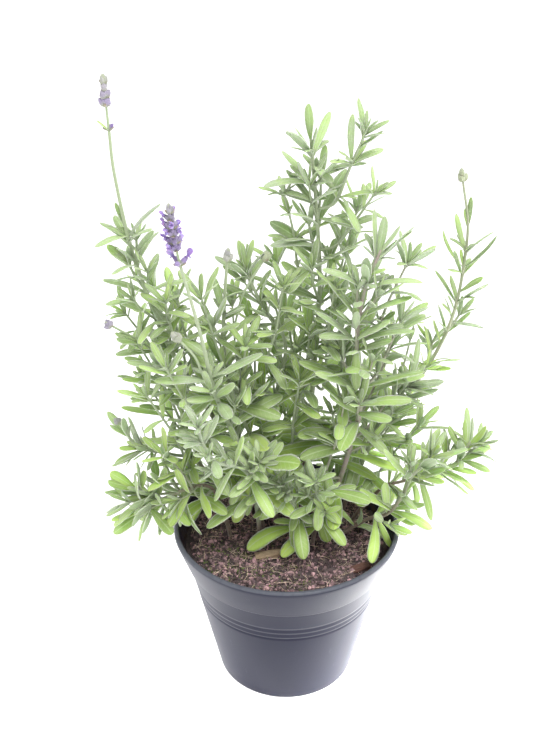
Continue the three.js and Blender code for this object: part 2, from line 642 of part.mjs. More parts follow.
function potSolid() {
  const { height, footRadius, rimRadius, collarFoot, collarFootRadius, floor } = POT;
  const onBody = (z, depth = 0) => [bodyRadius(z) - depth, z];
  const ridges = RIDGES.heights.flatMap((z) => [onBody(z - RIDGES.rise, RIDGES.depth), onBody(z)]);
  const profile = [
    [0, 0], [footRadius - 1, 0], onBody(1.2), onBody(RIDGES.heights[0] - 2 * RIDGES.rise), ...ridges,
    onBody(collarFoot), [collarFootRadius, collarFoot + 0.8],
    [rimRadius - 0.9, height - 4], [rimRadius, height - 2.2], [rimRadius - 1.2, height],
    ...[height - 1, collarFoot, floor].map((z) => [innerRadius(z), z]), [0, floor],
  ].map(([r, z]) => new THREE.Vector2(r, z));
  const holes = Array.from({ length: DRAIN.count }, (_, i) => solidOf(
    new THREE.CylinderGeometry(DRAIN.radius, DRAIN.radius, 4 * floor, DRAIN.sides)
      .rotateX(Math.PI / 2)
      .translate(DRAIN.ring, 0, 0)
      .rotateZ((360 / DRAIN.count) * i * RAD),
  ));
  return solidOf(new THREE.LatheGeometry(profile, POT.segments).rotateX(Math.PI / 2))
    .subtract(wasm.Manifold.union(holes));
}

// The height of the soil's surface: low lumps from a formula.
function soilHeight(x, y) {
  const lumps = Math.sin(x * 0.21 + 1.3) * Math.cos(y * 0.17 - 0.4) + 0.6 * Math.sin(x * 0.43 - y * 0.37);
  return SOIL.top + SOIL.lump * lumps;
}

function soilSolid(holes) {
  const { segments, top, edgeDrop } = SOIL;
  const round = (radius, height) => Array.from({ length: segments }, (_, j) => {
    const turn = (360 * j * RAD) / segments;
    const [x, y] = [radius * Math.cos(turn), radius * Math.sin(turn)];
    return new THREE.Vector3(x, y, height ?? soilHeight(x, y));
  });
  const foot = POT.floor + GAP;
  const inPot = (z) => round((innerRadius(z) - 2 * GAP) * Math.cos(Math.PI / POT.segments), z);
  const surface = [55, 43, 31, 20, 10].map((radius) => round(radius));
  const middle = new THREE.Vector3(0, 0, soilHeight(0, 0));
  const rings = [inPot(foot), inPot(POT.collarFoot), inPot(top - edgeDrop), ...surface, [middle]];
  return solidOf(loft(rings)).subtract(wasm.Manifold.union(holes));
}

// A rough chip of wood, grown all round by "grow" for the pocket that it lies in.
function chipSolid(chip, grow) {
  const [long, wide, thick] = chip.size.map((d) => d / 2 + grow);
  const section = [[1, -0.8], [0.85, 0.7], [-0.7, 1], [-1, -0.6]];
  const rings = [[-1, 0.5], [-0.55, 0.9], [0.5, 1], [1, 0.6]].map(([x, share]) =>
    section.map(([u, v]) => new THREE.Vector3(x * long, u * wide * share, v * thick * share)));
  const [x, y] = chip.at;
  const lift = soilHeight(x, y) + chip.size[2] * 0.22;
  return solidOf(loft(rings).rotateZ(chip.turn * RAD).translate(x, y, lift));
}

// ---- putting it together ----
const lavender = new THREE.Group();

function add(name, geometry, [color, roughness]) {
  const material = new THREE.MeshStandardMaterial({ color, roughness, metalness: 0 });
  geometry.computeVertexNormals();
  const mesh = new THREE.Mesh(geometry, material);
  mesh.name = name;
  lavender.add(mesh);
}

// Every stem, stalk and head stands before the first leaf, so that no leaf takes its place.
const stems = STEMS.map(plantStem);
for (const stem of stems) {
  stem.grownStalks = stem.stalks.map((stalk) => growStalk(stem, stalk));
  if (stem.bloom) seats[stem.bloom] = at(stem.line, lengthOf(stem.line));
}
const pockets = CHIPS.map((chip) => chipSolid(chip, GAP));
const fixed = [
  ["pot", potSolid(), COLOURS.pot],
  ["soil", soilSolid([...stems.map((stem) => stem.hole), ...pockets]), COLOURS.soil],
  ...CHIPS.map((chip) => [chip.name, chipSolid(chip, 0), COLOURS.chip]),
  ...Object.entries(HEADS).map(([name, head], i) =>
    [name, headSolid(head, seats[name], 900 + i), name.startsWith("bloom") ? COLOURS.bloom : COLOURS.bud]),
];
for (const [name, solid, colour] of fixed) add(name, geometryOf(stand(name, solid)), colour);

stems.forEach((stem, index) => {
  const seed = 10000 * (index + 1);
  stem.nodes = growPairs(stem.name, stem, stem, seed);
  stem.stalks.forEach(({ pair }, i) => {
    const stalk = stem.grownStalks[i];
    stem.nodes[pair].shoots[stalk.half] = stalk;
  });
  stem.shoots.at.forEach((i, k) => {
    const { shoots } = stem.nodes[i];
    const half = shoots[k % 2] ? 1 - (k % 2) : k % 2;
    shoots[half] = growShoot(stem, i, half, seed + 100 * i + 10 + half);
  });
  add(stem.name, stemGeometry(stem), COLOURS.leaf);
});

export default lavender;
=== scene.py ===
"""A potted lavender: fine leaves, flower heads, a moulded pot and peat soil over the plain solids.

Sizes are in millimetres until a mesh is written. The stems, leaves and flower heads grow by the same
rule as the solids that they stand for, so each fine piece lies where its solid does.
"""

from dataclasses import dataclass
from math import copysign, cos, exp, pi, sin

import bmesh
import bpy
import numpy as np
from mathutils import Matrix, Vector, kdtree, noise


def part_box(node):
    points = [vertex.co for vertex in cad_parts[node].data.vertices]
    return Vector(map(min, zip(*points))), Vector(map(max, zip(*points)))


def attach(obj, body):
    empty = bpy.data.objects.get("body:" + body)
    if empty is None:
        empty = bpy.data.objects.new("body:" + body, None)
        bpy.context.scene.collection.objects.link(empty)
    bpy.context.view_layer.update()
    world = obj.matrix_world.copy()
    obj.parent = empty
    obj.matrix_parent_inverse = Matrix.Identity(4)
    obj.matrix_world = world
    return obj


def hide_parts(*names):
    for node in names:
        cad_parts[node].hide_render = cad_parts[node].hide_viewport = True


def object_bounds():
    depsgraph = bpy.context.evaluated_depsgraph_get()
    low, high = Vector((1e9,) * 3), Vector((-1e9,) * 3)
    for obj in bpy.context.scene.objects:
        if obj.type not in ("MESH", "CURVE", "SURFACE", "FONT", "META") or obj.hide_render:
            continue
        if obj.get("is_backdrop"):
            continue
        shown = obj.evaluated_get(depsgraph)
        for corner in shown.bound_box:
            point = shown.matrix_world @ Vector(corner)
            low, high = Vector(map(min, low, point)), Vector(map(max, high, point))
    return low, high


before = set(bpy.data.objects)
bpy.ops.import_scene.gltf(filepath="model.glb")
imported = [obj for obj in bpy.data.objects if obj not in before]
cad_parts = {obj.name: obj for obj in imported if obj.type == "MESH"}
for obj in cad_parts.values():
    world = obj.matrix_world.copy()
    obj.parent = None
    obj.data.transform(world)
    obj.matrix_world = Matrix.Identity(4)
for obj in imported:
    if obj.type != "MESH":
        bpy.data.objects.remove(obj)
cad_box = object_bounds()

MM = 0.001
RAD = pi / 180

# ---- the pot and the soil ----
POT = dict(height=97, foot_radius=40, rim_radius=65, rim_width=2.6, collar_foot=75, collar_foot_radius=58,
           collar_step=1.2, wall=1.6, floor=2)
RIDGES = dict(heights=(56, 59.8, 63.6), depth=0.5, rise=1.2)
DRAIN = dict(count=6, ring=25, radius=4)
SOIL = dict(top=86.5, lump=0.8, edge_drop=2.2, hole_depth=18)
UPRIGHT = 2.5  # how far a stem stands straight out of the soil
GAP = 0.3

# ---- how leaves and shoots stand ----
NODE = 1.2  # the height of a stem that the root of a leaf takes up
AXIL = 1.4  # and, above it, the foot of a side shoot
SHOOT_RADIUS = (0.95, 0.65)
FOUND = 0.05  # how near a solid's point has to be to a leaf's tip for the leaf to be there

# What a leaf or shoot tried in turn until it was clear of the others: degrees round the stem, degrees
# further open, and its length as a share.
BENDS = [
    (0, 0, 1), (12, 0, 1), (-12, 0, 1), (0, -12, 1), (0, 14, 1), (24, 0, 1), (-24, 0, 1),
    (16, -14, 1), (-16, -14, 1), (36, 8, 0.9), (-36, 8, 0.9), (0, -22, 0.85), (0, 26, 0.85),
    (50, 0, 0.8), (-50, 0, 0.8), (24, -20, 0.7), (-24, -20, 0.7), (0, 0, 0.55),
]

# The leafy stems. A pair of values is for the foot and the tip of what bears it.
# route: where the stem leaves the soil, then points that it runs through.
# start: where its leafy part begins. low, high: how far up that part its first and last leaves are.
# leaf_wide: a share of a leaf's length. opening: degrees from the stem. arch: degrees that a leaf bends.
# turn: degrees round the stem of the lowest pair. shoots: the pairs with a side shoot, and its sizes.
# stalks: bare stalks from the axils, each with a flower head. bloom: the head on the stem's own end.
# wood: the share of the stem, from its foot, that is brown. felt: how white with hair its leaves are.
# warm: how yellow-green they are. blush: how purple the stem is. cast: the colouring of its large leaves.
USUAL = dict(
    radius=(1.8, 0.9), start=SOIL["hole_depth"] + UPRIGHT, low=0.16, high=0.96, pairs=6, leaf_long=(36, 20),
    leaf_wide=(0.26, 0.2), opening=(72, 24), arch=(46, 16), turn=20, stalks=(), bloom=None, wood=0.3,
    felt=0.4, warm=0.35, blush=0.1, cast="green",
    shoots=dict(at=(2, 3), long=(18, 12), pairs=1, leaf_long=14),
)
STEMS = [
    dict(name="stem_front_centre", turn=12,
         route=[(3, -10), (7, -12, 106), (3, -18, 124), (-3, -22, 138)],
         low=0.24, pairs=5, leaf_long=(30, 14), leaf_wide=(0.28, 0.26), opening=(80, 30), arch=(60, 18),
         shoots=dict(at=(1, 2), long=(16, 10), leaf_long=14), warm=0.4, wood=0.4),
    dict(name="stem_front_right", turn=30, route=[(15, -8), (18, -15, 112), (17, -22, 128), (15, -26, 142)],
         low=0.24, pairs=5, leaf_long=(28, 14), leaf_wide=(0.28, 0.24), opening=(80, 30), arch=(56, 18),
         shoots=dict(at=(1, 2), long=(16, 10), leaf_long=14), warm=0.45, wood=0.4),
    dict(name="stem_front_left", turn=38, route=[(-4, 2), (-12, -8, 124), (-16, -18, 142), (-15, -24, 154)],
         low=0.3, pairs=4, leaf_long=(36, 16), leaf_wide=(0.28, 0.24), opening=(84, 34), arch=(58, 20),
         shoots=dict(at=(1, 2), long=(18, 10), leaf_long=16), warm=0.55),
    dict(name="stem_left_pale", turn=35, radius=(1.7, 0.8),
         route=[(-15, -7), (-19, -14, 132), (-25, -22, 148), (-38, -30, 157), (-44, -36, 172),
                (-46, -39, 186)],
         low=0.3, leaf_long=(30, 15), leaf_wide=(0.24, 0.2), opening=(78, 26),
         shoots=dict(at=(2, 3), long=(14, 10), leaf_long=12), felt=0.95, wood=0.15, warm=0.2),
    dict(name="stem_centre_broad", turn=80, route=[(-8, 16), (-17, 8, 140), (-24, 2, 164), (-27, -4, 188)],
         low=0.24, pairs=5, leaf_long=(40, 26), leaf_wide=(0.32, 0.24), opening=(76, 30), arch=(36, 16),
         shoots=dict(at=(1, 3), long=(16, 12), leaf_long=15), warm=0.95, felt=0.15),
    dict(name="stem_purple_head", radius=(2, 0.95), turn=10,
         route=[(-14, 8), (-24, 0, 140), (-34, -12, 176), (-39, -18, 195), (-43, -25, 224), (-48, -30, 251),
                (-52, -33, 270)],
         high=0.62, pairs=5, leaf_long=(32, 34), leaf_wide=(0.25, 0.2), opening=(70, 52),
         arch=(40, 30), shoots=dict(at=(1, 2, 3), long=(22, 18), pairs=2, leaf_long=15),
         stalks=[dict(pair=4, to=(-54, -26, 226), radius=0.85, bloom="bud_front")], bloom="bloom_open",
         felt=0.6),
    dict(name="stem_left_tall", radius=(2.1, 0.85), turn=62,
         route=[(-22, 24), (-38, 15, 150), (-64, 5, 209), (-76, 0, 252), (-81, 0, 273), (-85, -5, 308),
                (-86, -5, 328)],
         low=0.24, high=0.765, pairs=8, leaf_long=(30, 24), leaf_wide=(0.22, 0.2), opening=(64, 46),
         arch=(40, 46), shoots=dict(at=(1, 2, 3, 4, 5, 6), long=(28, 14), pairs=2, leaf_long=15),
         stalks=[dict(pair=2, to=(-90, -12, 228), radius=0.75, bloom="bud_left")], bloom="bloom_tall",
         blush=0.05),
    dict(name="stem_right_front", turn=5, radius=(1.6, 0.8),
         route=[(29, -6), (45, -8, 104), (56, -15, 113), (63, -20, 128), (68, -24, 145), (77, -28, 160)],
         pairs=7, leaf_long=(26, 22), leaf_wide=(0.28, 0.22), opening=(70, 24), arch=(40, 12),
         shoots=dict(at=(1, 3), long=(16, 10), leaf_long=15), wood=0.55, blush=0.3),
    dict(name="stem_right_low", turn=38, radius=(1.6, 0.8),
         route=[(38, 10), (54, 4, 117), (66, 0, 125), (86, -4, 135), (95, -5, 142), (101, -5, 154)],
         low=0.24, leaf_long=(26, 22), leaf_wide=(0.26, 0.24), opening=(62, 26), arch=(30, 14),
         shoots=dict(at=(2, 3), long=(20, 14), leaf_long=17), wood=0.6, felt=0.3, blush=0.3),
    dict(name="stem_left_rim", turn=25, radius=(1.6, 0.8),
         route=[(-33, 0), (-42, -6, 124), (-57, -15, 129), (-72, -20, 126), (-82, -22, 134)],
         low=0.36, pairs=5, leaf_long=(26, 21), leaf_wide=(0.3, 0.28), opening=(66, 34), arch=(34, 14),
         shoots=dict(at=(1, 2), long=(20, 16), leaf_long=20), wood=0.65, warm=0.7,
         felt=0.2, blush=0.4),
    dict(name="stem_left_mid", turn=0, route=[(-31, 14), (-40, 0, 150), (-53, -10, 182), (-64, -14, 206)],
         low=0.2, leaf_long=(30, 20), leaf_wide=(0.2, 0.16),
         shoots=dict(at=(2, 3), long=(20, 14), leaf_long=14), felt=0.55),
    dict(name="stem_left_low", turn=62,
         route=[(-38, 26), (-50, 8, 132), (-65, 0, 143), (-82, -5, 151), (-91, -6, 166)],
         low=0.2, high=0.9, leaf_long=(30, 20), leaf_wide=(0.24, 0.2),
         shoots=dict(at=(2, 3), long=(18, 12), leaf_long=13), bloom="bud_low", wood=0.45, felt=0.5),
    dict(name="stem_centre_tall", radius=(2.2, 0.9), turn=55,
         route=[(6, 30), (13, 25, 150), (16, 20, 204), (17, 15, 242), (15, 12, 277), (11, 9, 320)],
         low=0.14, pairs=9, leaf_long=(30, 30), leaf_wide=(0.26, 0.18), opening=(66, 30), arch=(34, 30),
         shoots=dict(at=(1, 2, 3, 4, 5, 6), long=(30, 24), pairs=2, leaf_long=18), wood=0.25, felt=0.45,
         warm=0.3, blush=0.12),
    dict(name="stem_right_purple", radius=(2.1, 0.9), turn=70,
         route=[(22, 6), (34, 2, 140), (40, -5, 181), (36, -8, 215), (39, -10, 248), (46, -12, 270)],
         pairs=8, leaf_long=(38, 26), leaf_wide=(0.25, 0.15), opening=(74, 22), arch=(36, 14),
         shoots=dict(at=(2, 3, 4, 5), long=(24, 18), pairs=2, leaf_long=18), wood=0.2, felt=0.5, warm=0.25,
         blush=0.9),
    dict(name="stem_right_mid", turn=15, route=[(33, 20), (48, 15, 140), (57, 10, 168), (68, 6, 184)],
         low=0.14, leaf_long=(34, 26), leaf_wide=(0.25, 0.17),
         shoots=dict(at=(1, 2, 3), long=(22, 14), leaf_long=16), felt=0.5),
    dict(name="stem_right_stalk", radius=(1.8, 0.75), turn=40,
         route=[(30, 40), (59, 40, 138), (73, 45, 158), (88, 48, 185), (96, 50, 209), (99, 50, 236),
                (99, 48, 261), (94, 45, 286)],
         high=0.8, pairs=8, leaf_long=(22, 24), leaf_wide=(0.13, 0.15), opening=(46, 32), arch=(16, 12),
         shoots=dict(at=(0, 1, 2, 3, 4), long=(20, 12), pairs=2, leaf_long=15), bloom="bud_right",
         blush=0.3, warm=0.6, felt=0.3, cast="olive"),
    dict(name="stem_centre_left", turn=66,
         route=[(-6, 32), (-7, 22, 160), (-1, 15, 204), (-14, 12, 230), (-22, 10, 250)],
         pairs=7, leaf_long=(34, 20), leaf_wide=(0.26, 0.16), opening=(68, 24),
         shoots=dict(at=(2, 3, 4), long=(22, 14), leaf_long=15), warm=0.6),
    dict(name="stem_left_inner", turn=28,
         route=[(-24, 34), (-30, 20, 156), (-34, 8, 205), (-33, 2, 236), (-31, -3, 260)],
         high=0.8, leaf_long=(34, 20), leaf_wide=(0.22, 0.18), opening=(66, 32),
         shoots=dict(at=(2, 3, 4), long=(22, 14), leaf_long=15),
         stalks=[dict(pair=4, to=(-13, 2, 258), radius=0.7, bloom="bud_inner")], bloom="bud_upper"),
    dict(name="stem_centre_right", turn=44, route=[(18, 24), (26, 14, 140), (31, 8, 178), (28, 4, 206)],
         leaf_wide=(0.28, 0.2), shoots=dict(at=(2, 3, 4), long=(20, 14), leaf_long=15), warm=0.45),
    dict(name="stem_back_left", turn=18, route=[(-22, 46), (-34, 54, 130), (-44, 60, 168)]),
    dict(name="stem_back_centre", turn=36, route=[(2, 50), (2, 60, 132), (-4, 66, 178)]),
    dict(name="stem_back_right", turn=58, route=[(20, 46), (34, 58, 126), (46, 66, 160)], leaf_long=(34, 20)),
]

# The flower heads. rings of calyces: how far up the head, how many, degrees that they lean out. petals: the
# share of calyces with a flower out. lilac: how violet the buds are at the foot and at the top. straighten:
# how far the head's tip bends back from its stalk's lean.
HEAD = dict(petals=0, straighten=0)
HEADS = {
    "bloom_open": dict(
        rings=[(0.8, 3, 50), (9, 4, 44), (13, 4, 44), (17, 4, 42), (21, 4, 38), (25, 3, 32), (29, 3, 22)],
        calyx=(5.6, 1.05), petals=0.7, lilac=(1, 0.55), straighten=2.6),
    "bloom_tall": dict(rings=[(0.6, 2, 34), (12, 3, 32), (15.5, 3, 28), (19, 2, 22), (22, 3, 16)],
                       calyx=(5.6, 1.35), lilac=(1, 0.3)),
    "bud_left": dict(rings=[(0.6, 3, 30)], calyx=(5, 1.2), lilac=(0.7, 0.5)),
    "bud_front": dict(rings=[(0.6, 3, 26), (3, 2, 18)], calyx=(5, 1.2), lilac=(0.2, 0.3)),
    "bud_low": dict(rings=[(0.6, 3, 28)], calyx=(4, 1.1), lilac=(0.4, 0.5)),
    "bud_right": dict(rings=[(0.6, 3, 30), (3.4, 2, 18)], calyx=(5, 1.3), lilac=(0, 0)),
    "bud_upper": dict(rings=[(0.6, 3, 26), (3.4, 2, 16)], calyx=(5, 1.3), lilac=(0.3, 0.45)),
    "bud_inner": dict(rings=[(0.6, 3, 20)], calyx=(6, 1.2), lilac=(0, 0)),
}
HEAD_CORE = (0.85, 0.55)
PLUMP = 1.3  # how much fuller a calyx is than its solid's straight-edged bead
HEAD_SEED = 900

# The camera's place, what it aims at, and its lens. A spot of the view counts across from its left side and
# down from its top, out of VIEW.
AIM = Vector((-6.67, 0, 199))
CAMERA = Vector((-6.67, -530.9, 478.6))
SENSOR = 36.0
LENS = 55.16
VIEW = (550, 731)

# Further leafy branches among the solid ones, by the stem that bears them: how far up it they leave, the spot
# of the view where their tip is, how deep in the scene it lies, their pairs of leaves and the leaves' length.
BRANCHES = {
    "stem_centre_tall": [
        dict(share=0.84, tip=(366, 132), depth=2, pairs=3, leaf_long=17),
        dict(share=0.74, tip=(376, 192), depth=0, leaf_long=14),
        dict(share=0.66, tip=(283, 190), depth=14, leaf_long=13),
        dict(share=0.6, tip=(358, 208), depth=24, leaf_long=18),
        dict(share=0.5, tip=(350, 245), depth=30),
        dict(share=0.42, tip=(275, 262), depth=30),
        dict(share=0.38, tip=(335, 285), depth=0),
        dict(share=0.3, tip=(300, 290), depth=38),
        dict(share=0.24, tip=(310, 330), depth=10, leaf_long=22),
    ],
    "stem_right_purple": [
        dict(share=0.55, tip=(402, 318), depth=5, leaf_long=22),
        dict(share=0.44, tip=(392, 345), depth=22, leaf_long=22),
        dict(share=0.72, tip=(408, 262), depth=-6, pairs=3),
        dict(share=0.36, tip=(398, 388), depth=8),
        dict(share=0.4, tip=(340, 330), depth=10, leaf_long=18),
        dict(share=0.2, tip=(345, 400), depth=-10),
    ],
    "stem_right_stalk": [
        dict(share=0.26, tip=(395, 325), depth=38, pairs=5, leaf_long=12),
        dict(share=0.36, tip=(415, 320), depth=46, leaf_long=12),
        dict(share=0.2, tip=(428, 365), depth=40, leaf_long=13),
    ],
    "stem_centre_left": [
        dict(share=0.6, tip=(283, 285), depth=0, leaf_long=18),
        dict(share=0.34, tip=(252, 320), depth=18),
        dict(share=0.22, tip=(300, 380), depth=0, leaf_long=22),
    ],
    "stem_left_inner": [
        dict(share=0.5, tip=(246, 345), depth=-6, leaf_long=18),
        dict(share=0.4, tip=(232, 300), depth=24, leaf_long=18),
    ],
    "stem_purple_head": [
        dict(share=0.36, tip=(201, 297), depth=-6),
        dict(share=0.24, tip=(165, 367), depth=-28, leaf_long=18),
    ],
    "stem_centre_broad": [dict(share=0.3, tip=(262, 390), depth=8, leaf_long=24)],
    "stem_left_tall": [
        dict(share=0.52, tip=(165, 300), depth=-10, leaf_long=16),
        dict(share=0.4, tip=(124, 312), depth=8, leaf_long=18),
        dict(share=0.34, tip=(152, 285), depth=22, leaf_long=18),
        dict(share=0.44, tip=(176, 296), depth=12, leaf_long=18),
    ],
    "stem_left_mid": [
        dict(share=0.5, tip=(137, 342), depth=-8, leaf_long=18),
        dict(share=0.32, tip=(146, 395), depth=-22, leaf_long=18),
    ],
    "stem_left_low": [dict(share=0.42, tip=(143, 379), depth=0, leaf_long=17)],
    "stem_left_rim": [
        dict(share=0.42, tip=(165, 455), depth=-22, pairs=3),
        dict(share=0.6, tip=(148, 509), depth=-24, pairs=3, leaf_long=22),
    ],
    "stem_right_mid": [
        dict(share=0.36, tip=(381, 417), depth=14, leaf_long=22),
        dict(share=0.3, tip=(420, 425), depth=10),
    ],
    "stem_right_low": [dict(share=0.5, tip=(424, 462), depth=5, pairs=3, leaf_long=18)],
}

# Large leaves by where they are seen, on the stem that bears them or one of its branches: the spots of their
# foot and their tip, how much nearer the tip is than the foot, their width, degrees that they arch, and their
# cast where it isn't their stem's.
LONG_LEAVES = {
    "stem_centre_tall": [
        dict(foot=(310, 142), tip=(307, 104), nearer=2, arch=14),
        dict(foot=(303, 153), tip=(295, 128), wide=4, arch=16),
        dict(foot=(305, 152), tip=(317, 127), wide=4, cast="grey"),
        dict(foot=(306, 167), tip=(332, 183), nearer=9, arch=34, cast="grey"),
        dict(foot=(311, 185), tip=(264, 188), arch=62, cast="grey"),
        dict(foot=(312, 206), tip=(286, 170), nearer=-2, wide=6),
        dict(foot=(333, 156), tip=(352, 114), wide=4, arch=-14, cast="grey"),
        dict(foot=(350, 143), tip=(371, 117), wide=3, arch=12),
        dict(foot=(350, 144), tip=(383, 131), wide=4),
        dict(foot=(330, 160), tip=(367, 164), wide=4, arch=50, cast="grey"),
        dict(foot=(320, 178), tip=(361, 160), nearer=0, arch=40, cast="grey"),
        dict(foot=(343, 200), tip=(380, 192), wide=4, arch=36),
        dict(foot=(320, 218), tip=(363, 228), nearer=8, cast="grey"),
        dict(foot=(320, 248), tip=(270, 246), nearer=8, wide=6, arch=60, cast="grey"),
        dict(foot=(312, 258), tip=(269, 223), nearer=-4, wide=8, arch=34),
        dict(foot=(318, 226), tip=(352, 212), nearer=-2),
        dict(foot=(311, 262), tip=(288, 292), nearer=8),
        dict(foot=(316, 300), tip=(275, 285), nearer=0, wide=8, arch=34),
    ],
    "stem_right_purple": [
        dict(foot=(360, 288), tip=(322, 268), arch=46, cast="grey"),
        dict(foot=(368, 293), tip=(423, 283), wide=4, arch=70, cast="grey"),
        dict(foot=(377, 260), tip=(387, 217), nearer=1, arch=10, cast="grey"),
        dict(foot=(378, 257), tip=(413, 232), wide=3, cast="grey"),
        dict(foot=(378, 256), tip=(400, 225), wide=4, arch=14, cast="grey"),
        dict(foot=(364, 290), tip=(366, 257), nearer=9, wide=6, cast="grey"),
        dict(foot=(370, 277), tip=(386, 269), wide=4, arch=50),
        dict(foot=(361, 344), tip=(415, 332), arch=58, cast="grey"),
        dict(foot=(364, 350), tip=(392, 339), nearer=8, wide=6),
        dict(foot=(368, 391), tip=(425, 376), nearer=10, wide=8, arch=48, cast="grey"),
        dict(foot=(372, 324), tip=(395, 311), nearer=2),
        dict(foot=(357, 394), tip=(315, 373), nearer=10, wide=6, arch=38, cast="grey"),
        dict(foot=(356, 346), tip=(354, 390), nearer=7, wide=6, arch=14),
        dict(foot=(358, 348), tip=(316, 311), nearer=8, arch=36, cast="grey"),
        dict(foot=(360, 344), tip=(404, 326), nearer=-4, arch=50, cast="grey"),
        dict(foot=(356, 405), tip=(412, 400), wide=7, arch=36),
        dict(foot=(356, 425), tip=(388, 454), nearer=12, wide=7, arch=34, cast="grey"),
        dict(foot=(352, 448), tip=(300, 459), nearer=14, wide=9, arch=44),
    ],
    "stem_right_mid": [
        dict(foot=(383, 440), tip=(413, 442), wide=8, cast="grey"),
        dict(foot=(385, 424), tip=(417, 421)),
    ],
    "stem_purple_head": [dict(foot=(216, 395), tip=(181, 421), nearer=10, wide=8, arch=30)],
    "stem_centre_broad": [
        dict(foot=(232, 410), tip=(281, 417), nearer=10, wide=10, arch=36),
        dict(foot=(238, 440), tip=(283, 428), wide=9, arch=30),
    ],
    "stem_front_left": [
        dict(foot=(256, 450), tip=(300, 464), nearer=10, wide=13, arch=30, cast="gold"),
        dict(foot=(232, 473), tip=(229, 504), nearer=7, wide=6, cast="grey"),
        dict(foot=(240, 476), tip=(233, 522), wide=11, cast="gold"),
        dict(foot=(244, 478), tip=(247, 516), nearer=8),
    ],
    "stem_left_rim": [
        dict(foot=(150, 511), tip=(173, 534), wide=7, arch=14),
        dict(foot=(146, 512), tip=(114, 534), nearer=7, wide=7, arch=14),
        dict(foot=(136, 506), tip=(111, 519), arch=16),
        dict(foot=(130, 496), tip=(110, 473), nearer=0, wide=7, arch=14),
        dict(foot=(132, 498), tip=(108, 482), wide=6, arch=16),
        dict(foot=(171, 504), tip=(191, 525), wide=7, arch=14),
        dict(foot=(156, 498), tip=(166, 468), nearer=2, wide=6, arch=10, cast="grey"),
        dict(foot=(139, 494), tip=(144, 470), nearer=2, arch=10, cast="grey"),
    ],
    "stem_left_low": [
        dict(foot=(142, 457), tip=(115, 464)),
        dict(foot=(140, 450), tip=(119, 448), wide=4, arch=14),
        dict(foot=(155, 426), tip=(121, 409)),
        dict(foot=(152, 444), tip=(157, 478), arch=14),
    ],
    "stem_left_mid": [
        dict(foot=(146, 332), tip=(116, 338), wide=6),
        dict(foot=(152, 364), tip=(124, 357)),
        dict(foot=(155, 388), tip=(122, 380), wide=4),
        dict(foot=(182, 407), tip=(139, 406), wide=4, arch=10),
    ],
    "stem_left_tall": [
        dict(foot=(127, 236), tip=(95, 248), arch=50, cast="grey"),
        dict(foot=(131, 236), tip=(161, 205), wide=6, arch=38, cast="grey"),
        dict(foot=(126, 229), tip=(116, 202), nearer=0, wide=3, arch=6),
        dict(foot=(132, 266), tip=(108, 244), nearer=-3, arch=14),
        dict(foot=(135, 300), tip=(105, 304), arch=40, cast="grey"),
        dict(foot=(146, 304), tip=(168, 330), nearer=8, arch=30, cast="grey"),
        dict(foot=(148, 318), tip=(128, 352), wide=6),
    ],
    "stem_left_inner": [
        dict(foot=(209, 328), tip=(226, 296), wide=8, arch=14, cast="grey"),
        dict(foot=(226, 320), tip=(245, 305), nearer=0),
    ],
    "stem_centre_left": [
        dict(foot=(246, 272), tip=(243, 243), nearer=2, wide=3, arch=8),
        dict(foot=(262, 262), tip=(254, 240), nearer=2, wide=4),
        dict(foot=(247, 297), tip=(271, 271)),
    ],
    "stem_right_low": [
        dict(foot=(461, 460), tip=(490, 472)),
        dict(foot=(459, 460), tip=(484, 453), wide=6),
        dict(foot=(461, 452), tip=(486, 426), nearer=2, arch=8),
        dict(foot=(461, 448), tip=(465, 419), nearer=0, wide=3, arch=6),
        dict(foot=(458, 449), tip=(449, 426), nearer=0, arch=8),
        dict(foot=(444, 456), tip=(443, 432), nearer=0, arch=8),
        dict(foot=(446, 473), tip=(475, 489), wide=4),
        dict(foot=(450, 474), tip=(477, 472)),
    ],
    "stem_right_front": [
        dict(foot=(416, 478), tip=(445, 481)),
        dict(foot=(428, 480), tip=(434, 519), arch=16),
        dict(foot=(391, 514), tip=(415, 525), arch=14),
        dict(foot=(388, 513), tip=(386, 482), wide=6, arch=12, cast="grey"),
        dict(foot=(412, 474), tip=(440, 447), arch=14),
        dict(foot=(378, 531), tip=(391, 548)),
    ],
    "stem_front_right": [
        dict(foot=(353, 523), tip=(329, 542), nearer=7, wide=8, arch=30, cast="gold"),
        dict(foot=(318, 500), tip=(319, 531), nearer=7, wide=6, cast="grey"),
        dict(foot=(322, 503), tip=(341, 524)),
        dict(foot=(352, 468), tip=(371, 502), nearer=10, wide=8, arch=30),
    ],
    "stem_front_centre": [
        dict(foot=(292, 505), tip=(296, 549), nearer=8, wide=7),
        dict(foot=(284, 498), tip=(262, 519), nearer=8, wide=6),
    ],
    "stem_right_stalk": [
        dict(foot=(462, 267), tip=(443, 231), nearer=2, wide=3, arch=-30),
        dict(foot=(466, 268), tip=(497, 236), wide=3, arch=-26),
        dict(foot=(462, 292), tip=(483, 278)),
        dict(foot=(469, 229), tip=(472, 197), nearer=2, wide=3, arch=8),
        dict(foot=(469, 228), tip=(466, 208), nearer=1, wide=3, arch=10),
        dict(foot=(463, 267), tip=(461, 249), nearer=1, wide=2.5, arch=10),
        dict(foot=(453, 311), tip=(448, 295), nearer=3, wide=2.5),
        dict(foot=(451, 315), tip=(442, 303), nearer=3, wide=2.5),
        dict(foot=(438, 341), tip=(434, 319), nearer=3, wide=4, arch=10),
        dict(foot=(425, 355), tip=(426, 327), nearer=3, wide=4, arch=10),
        dict(foot=(431, 345), tip=(417, 325), nearer=3, wide=4),
        dict(foot=(433, 374), tip=(451, 369), cast="gold"),
    ],
}
CASTS = dict(green=(0.25, 0.45), grey=(0.65, 0.2), gold=(0.05, 1.0), olive=(0.15, 0.8))  # felt and warmth

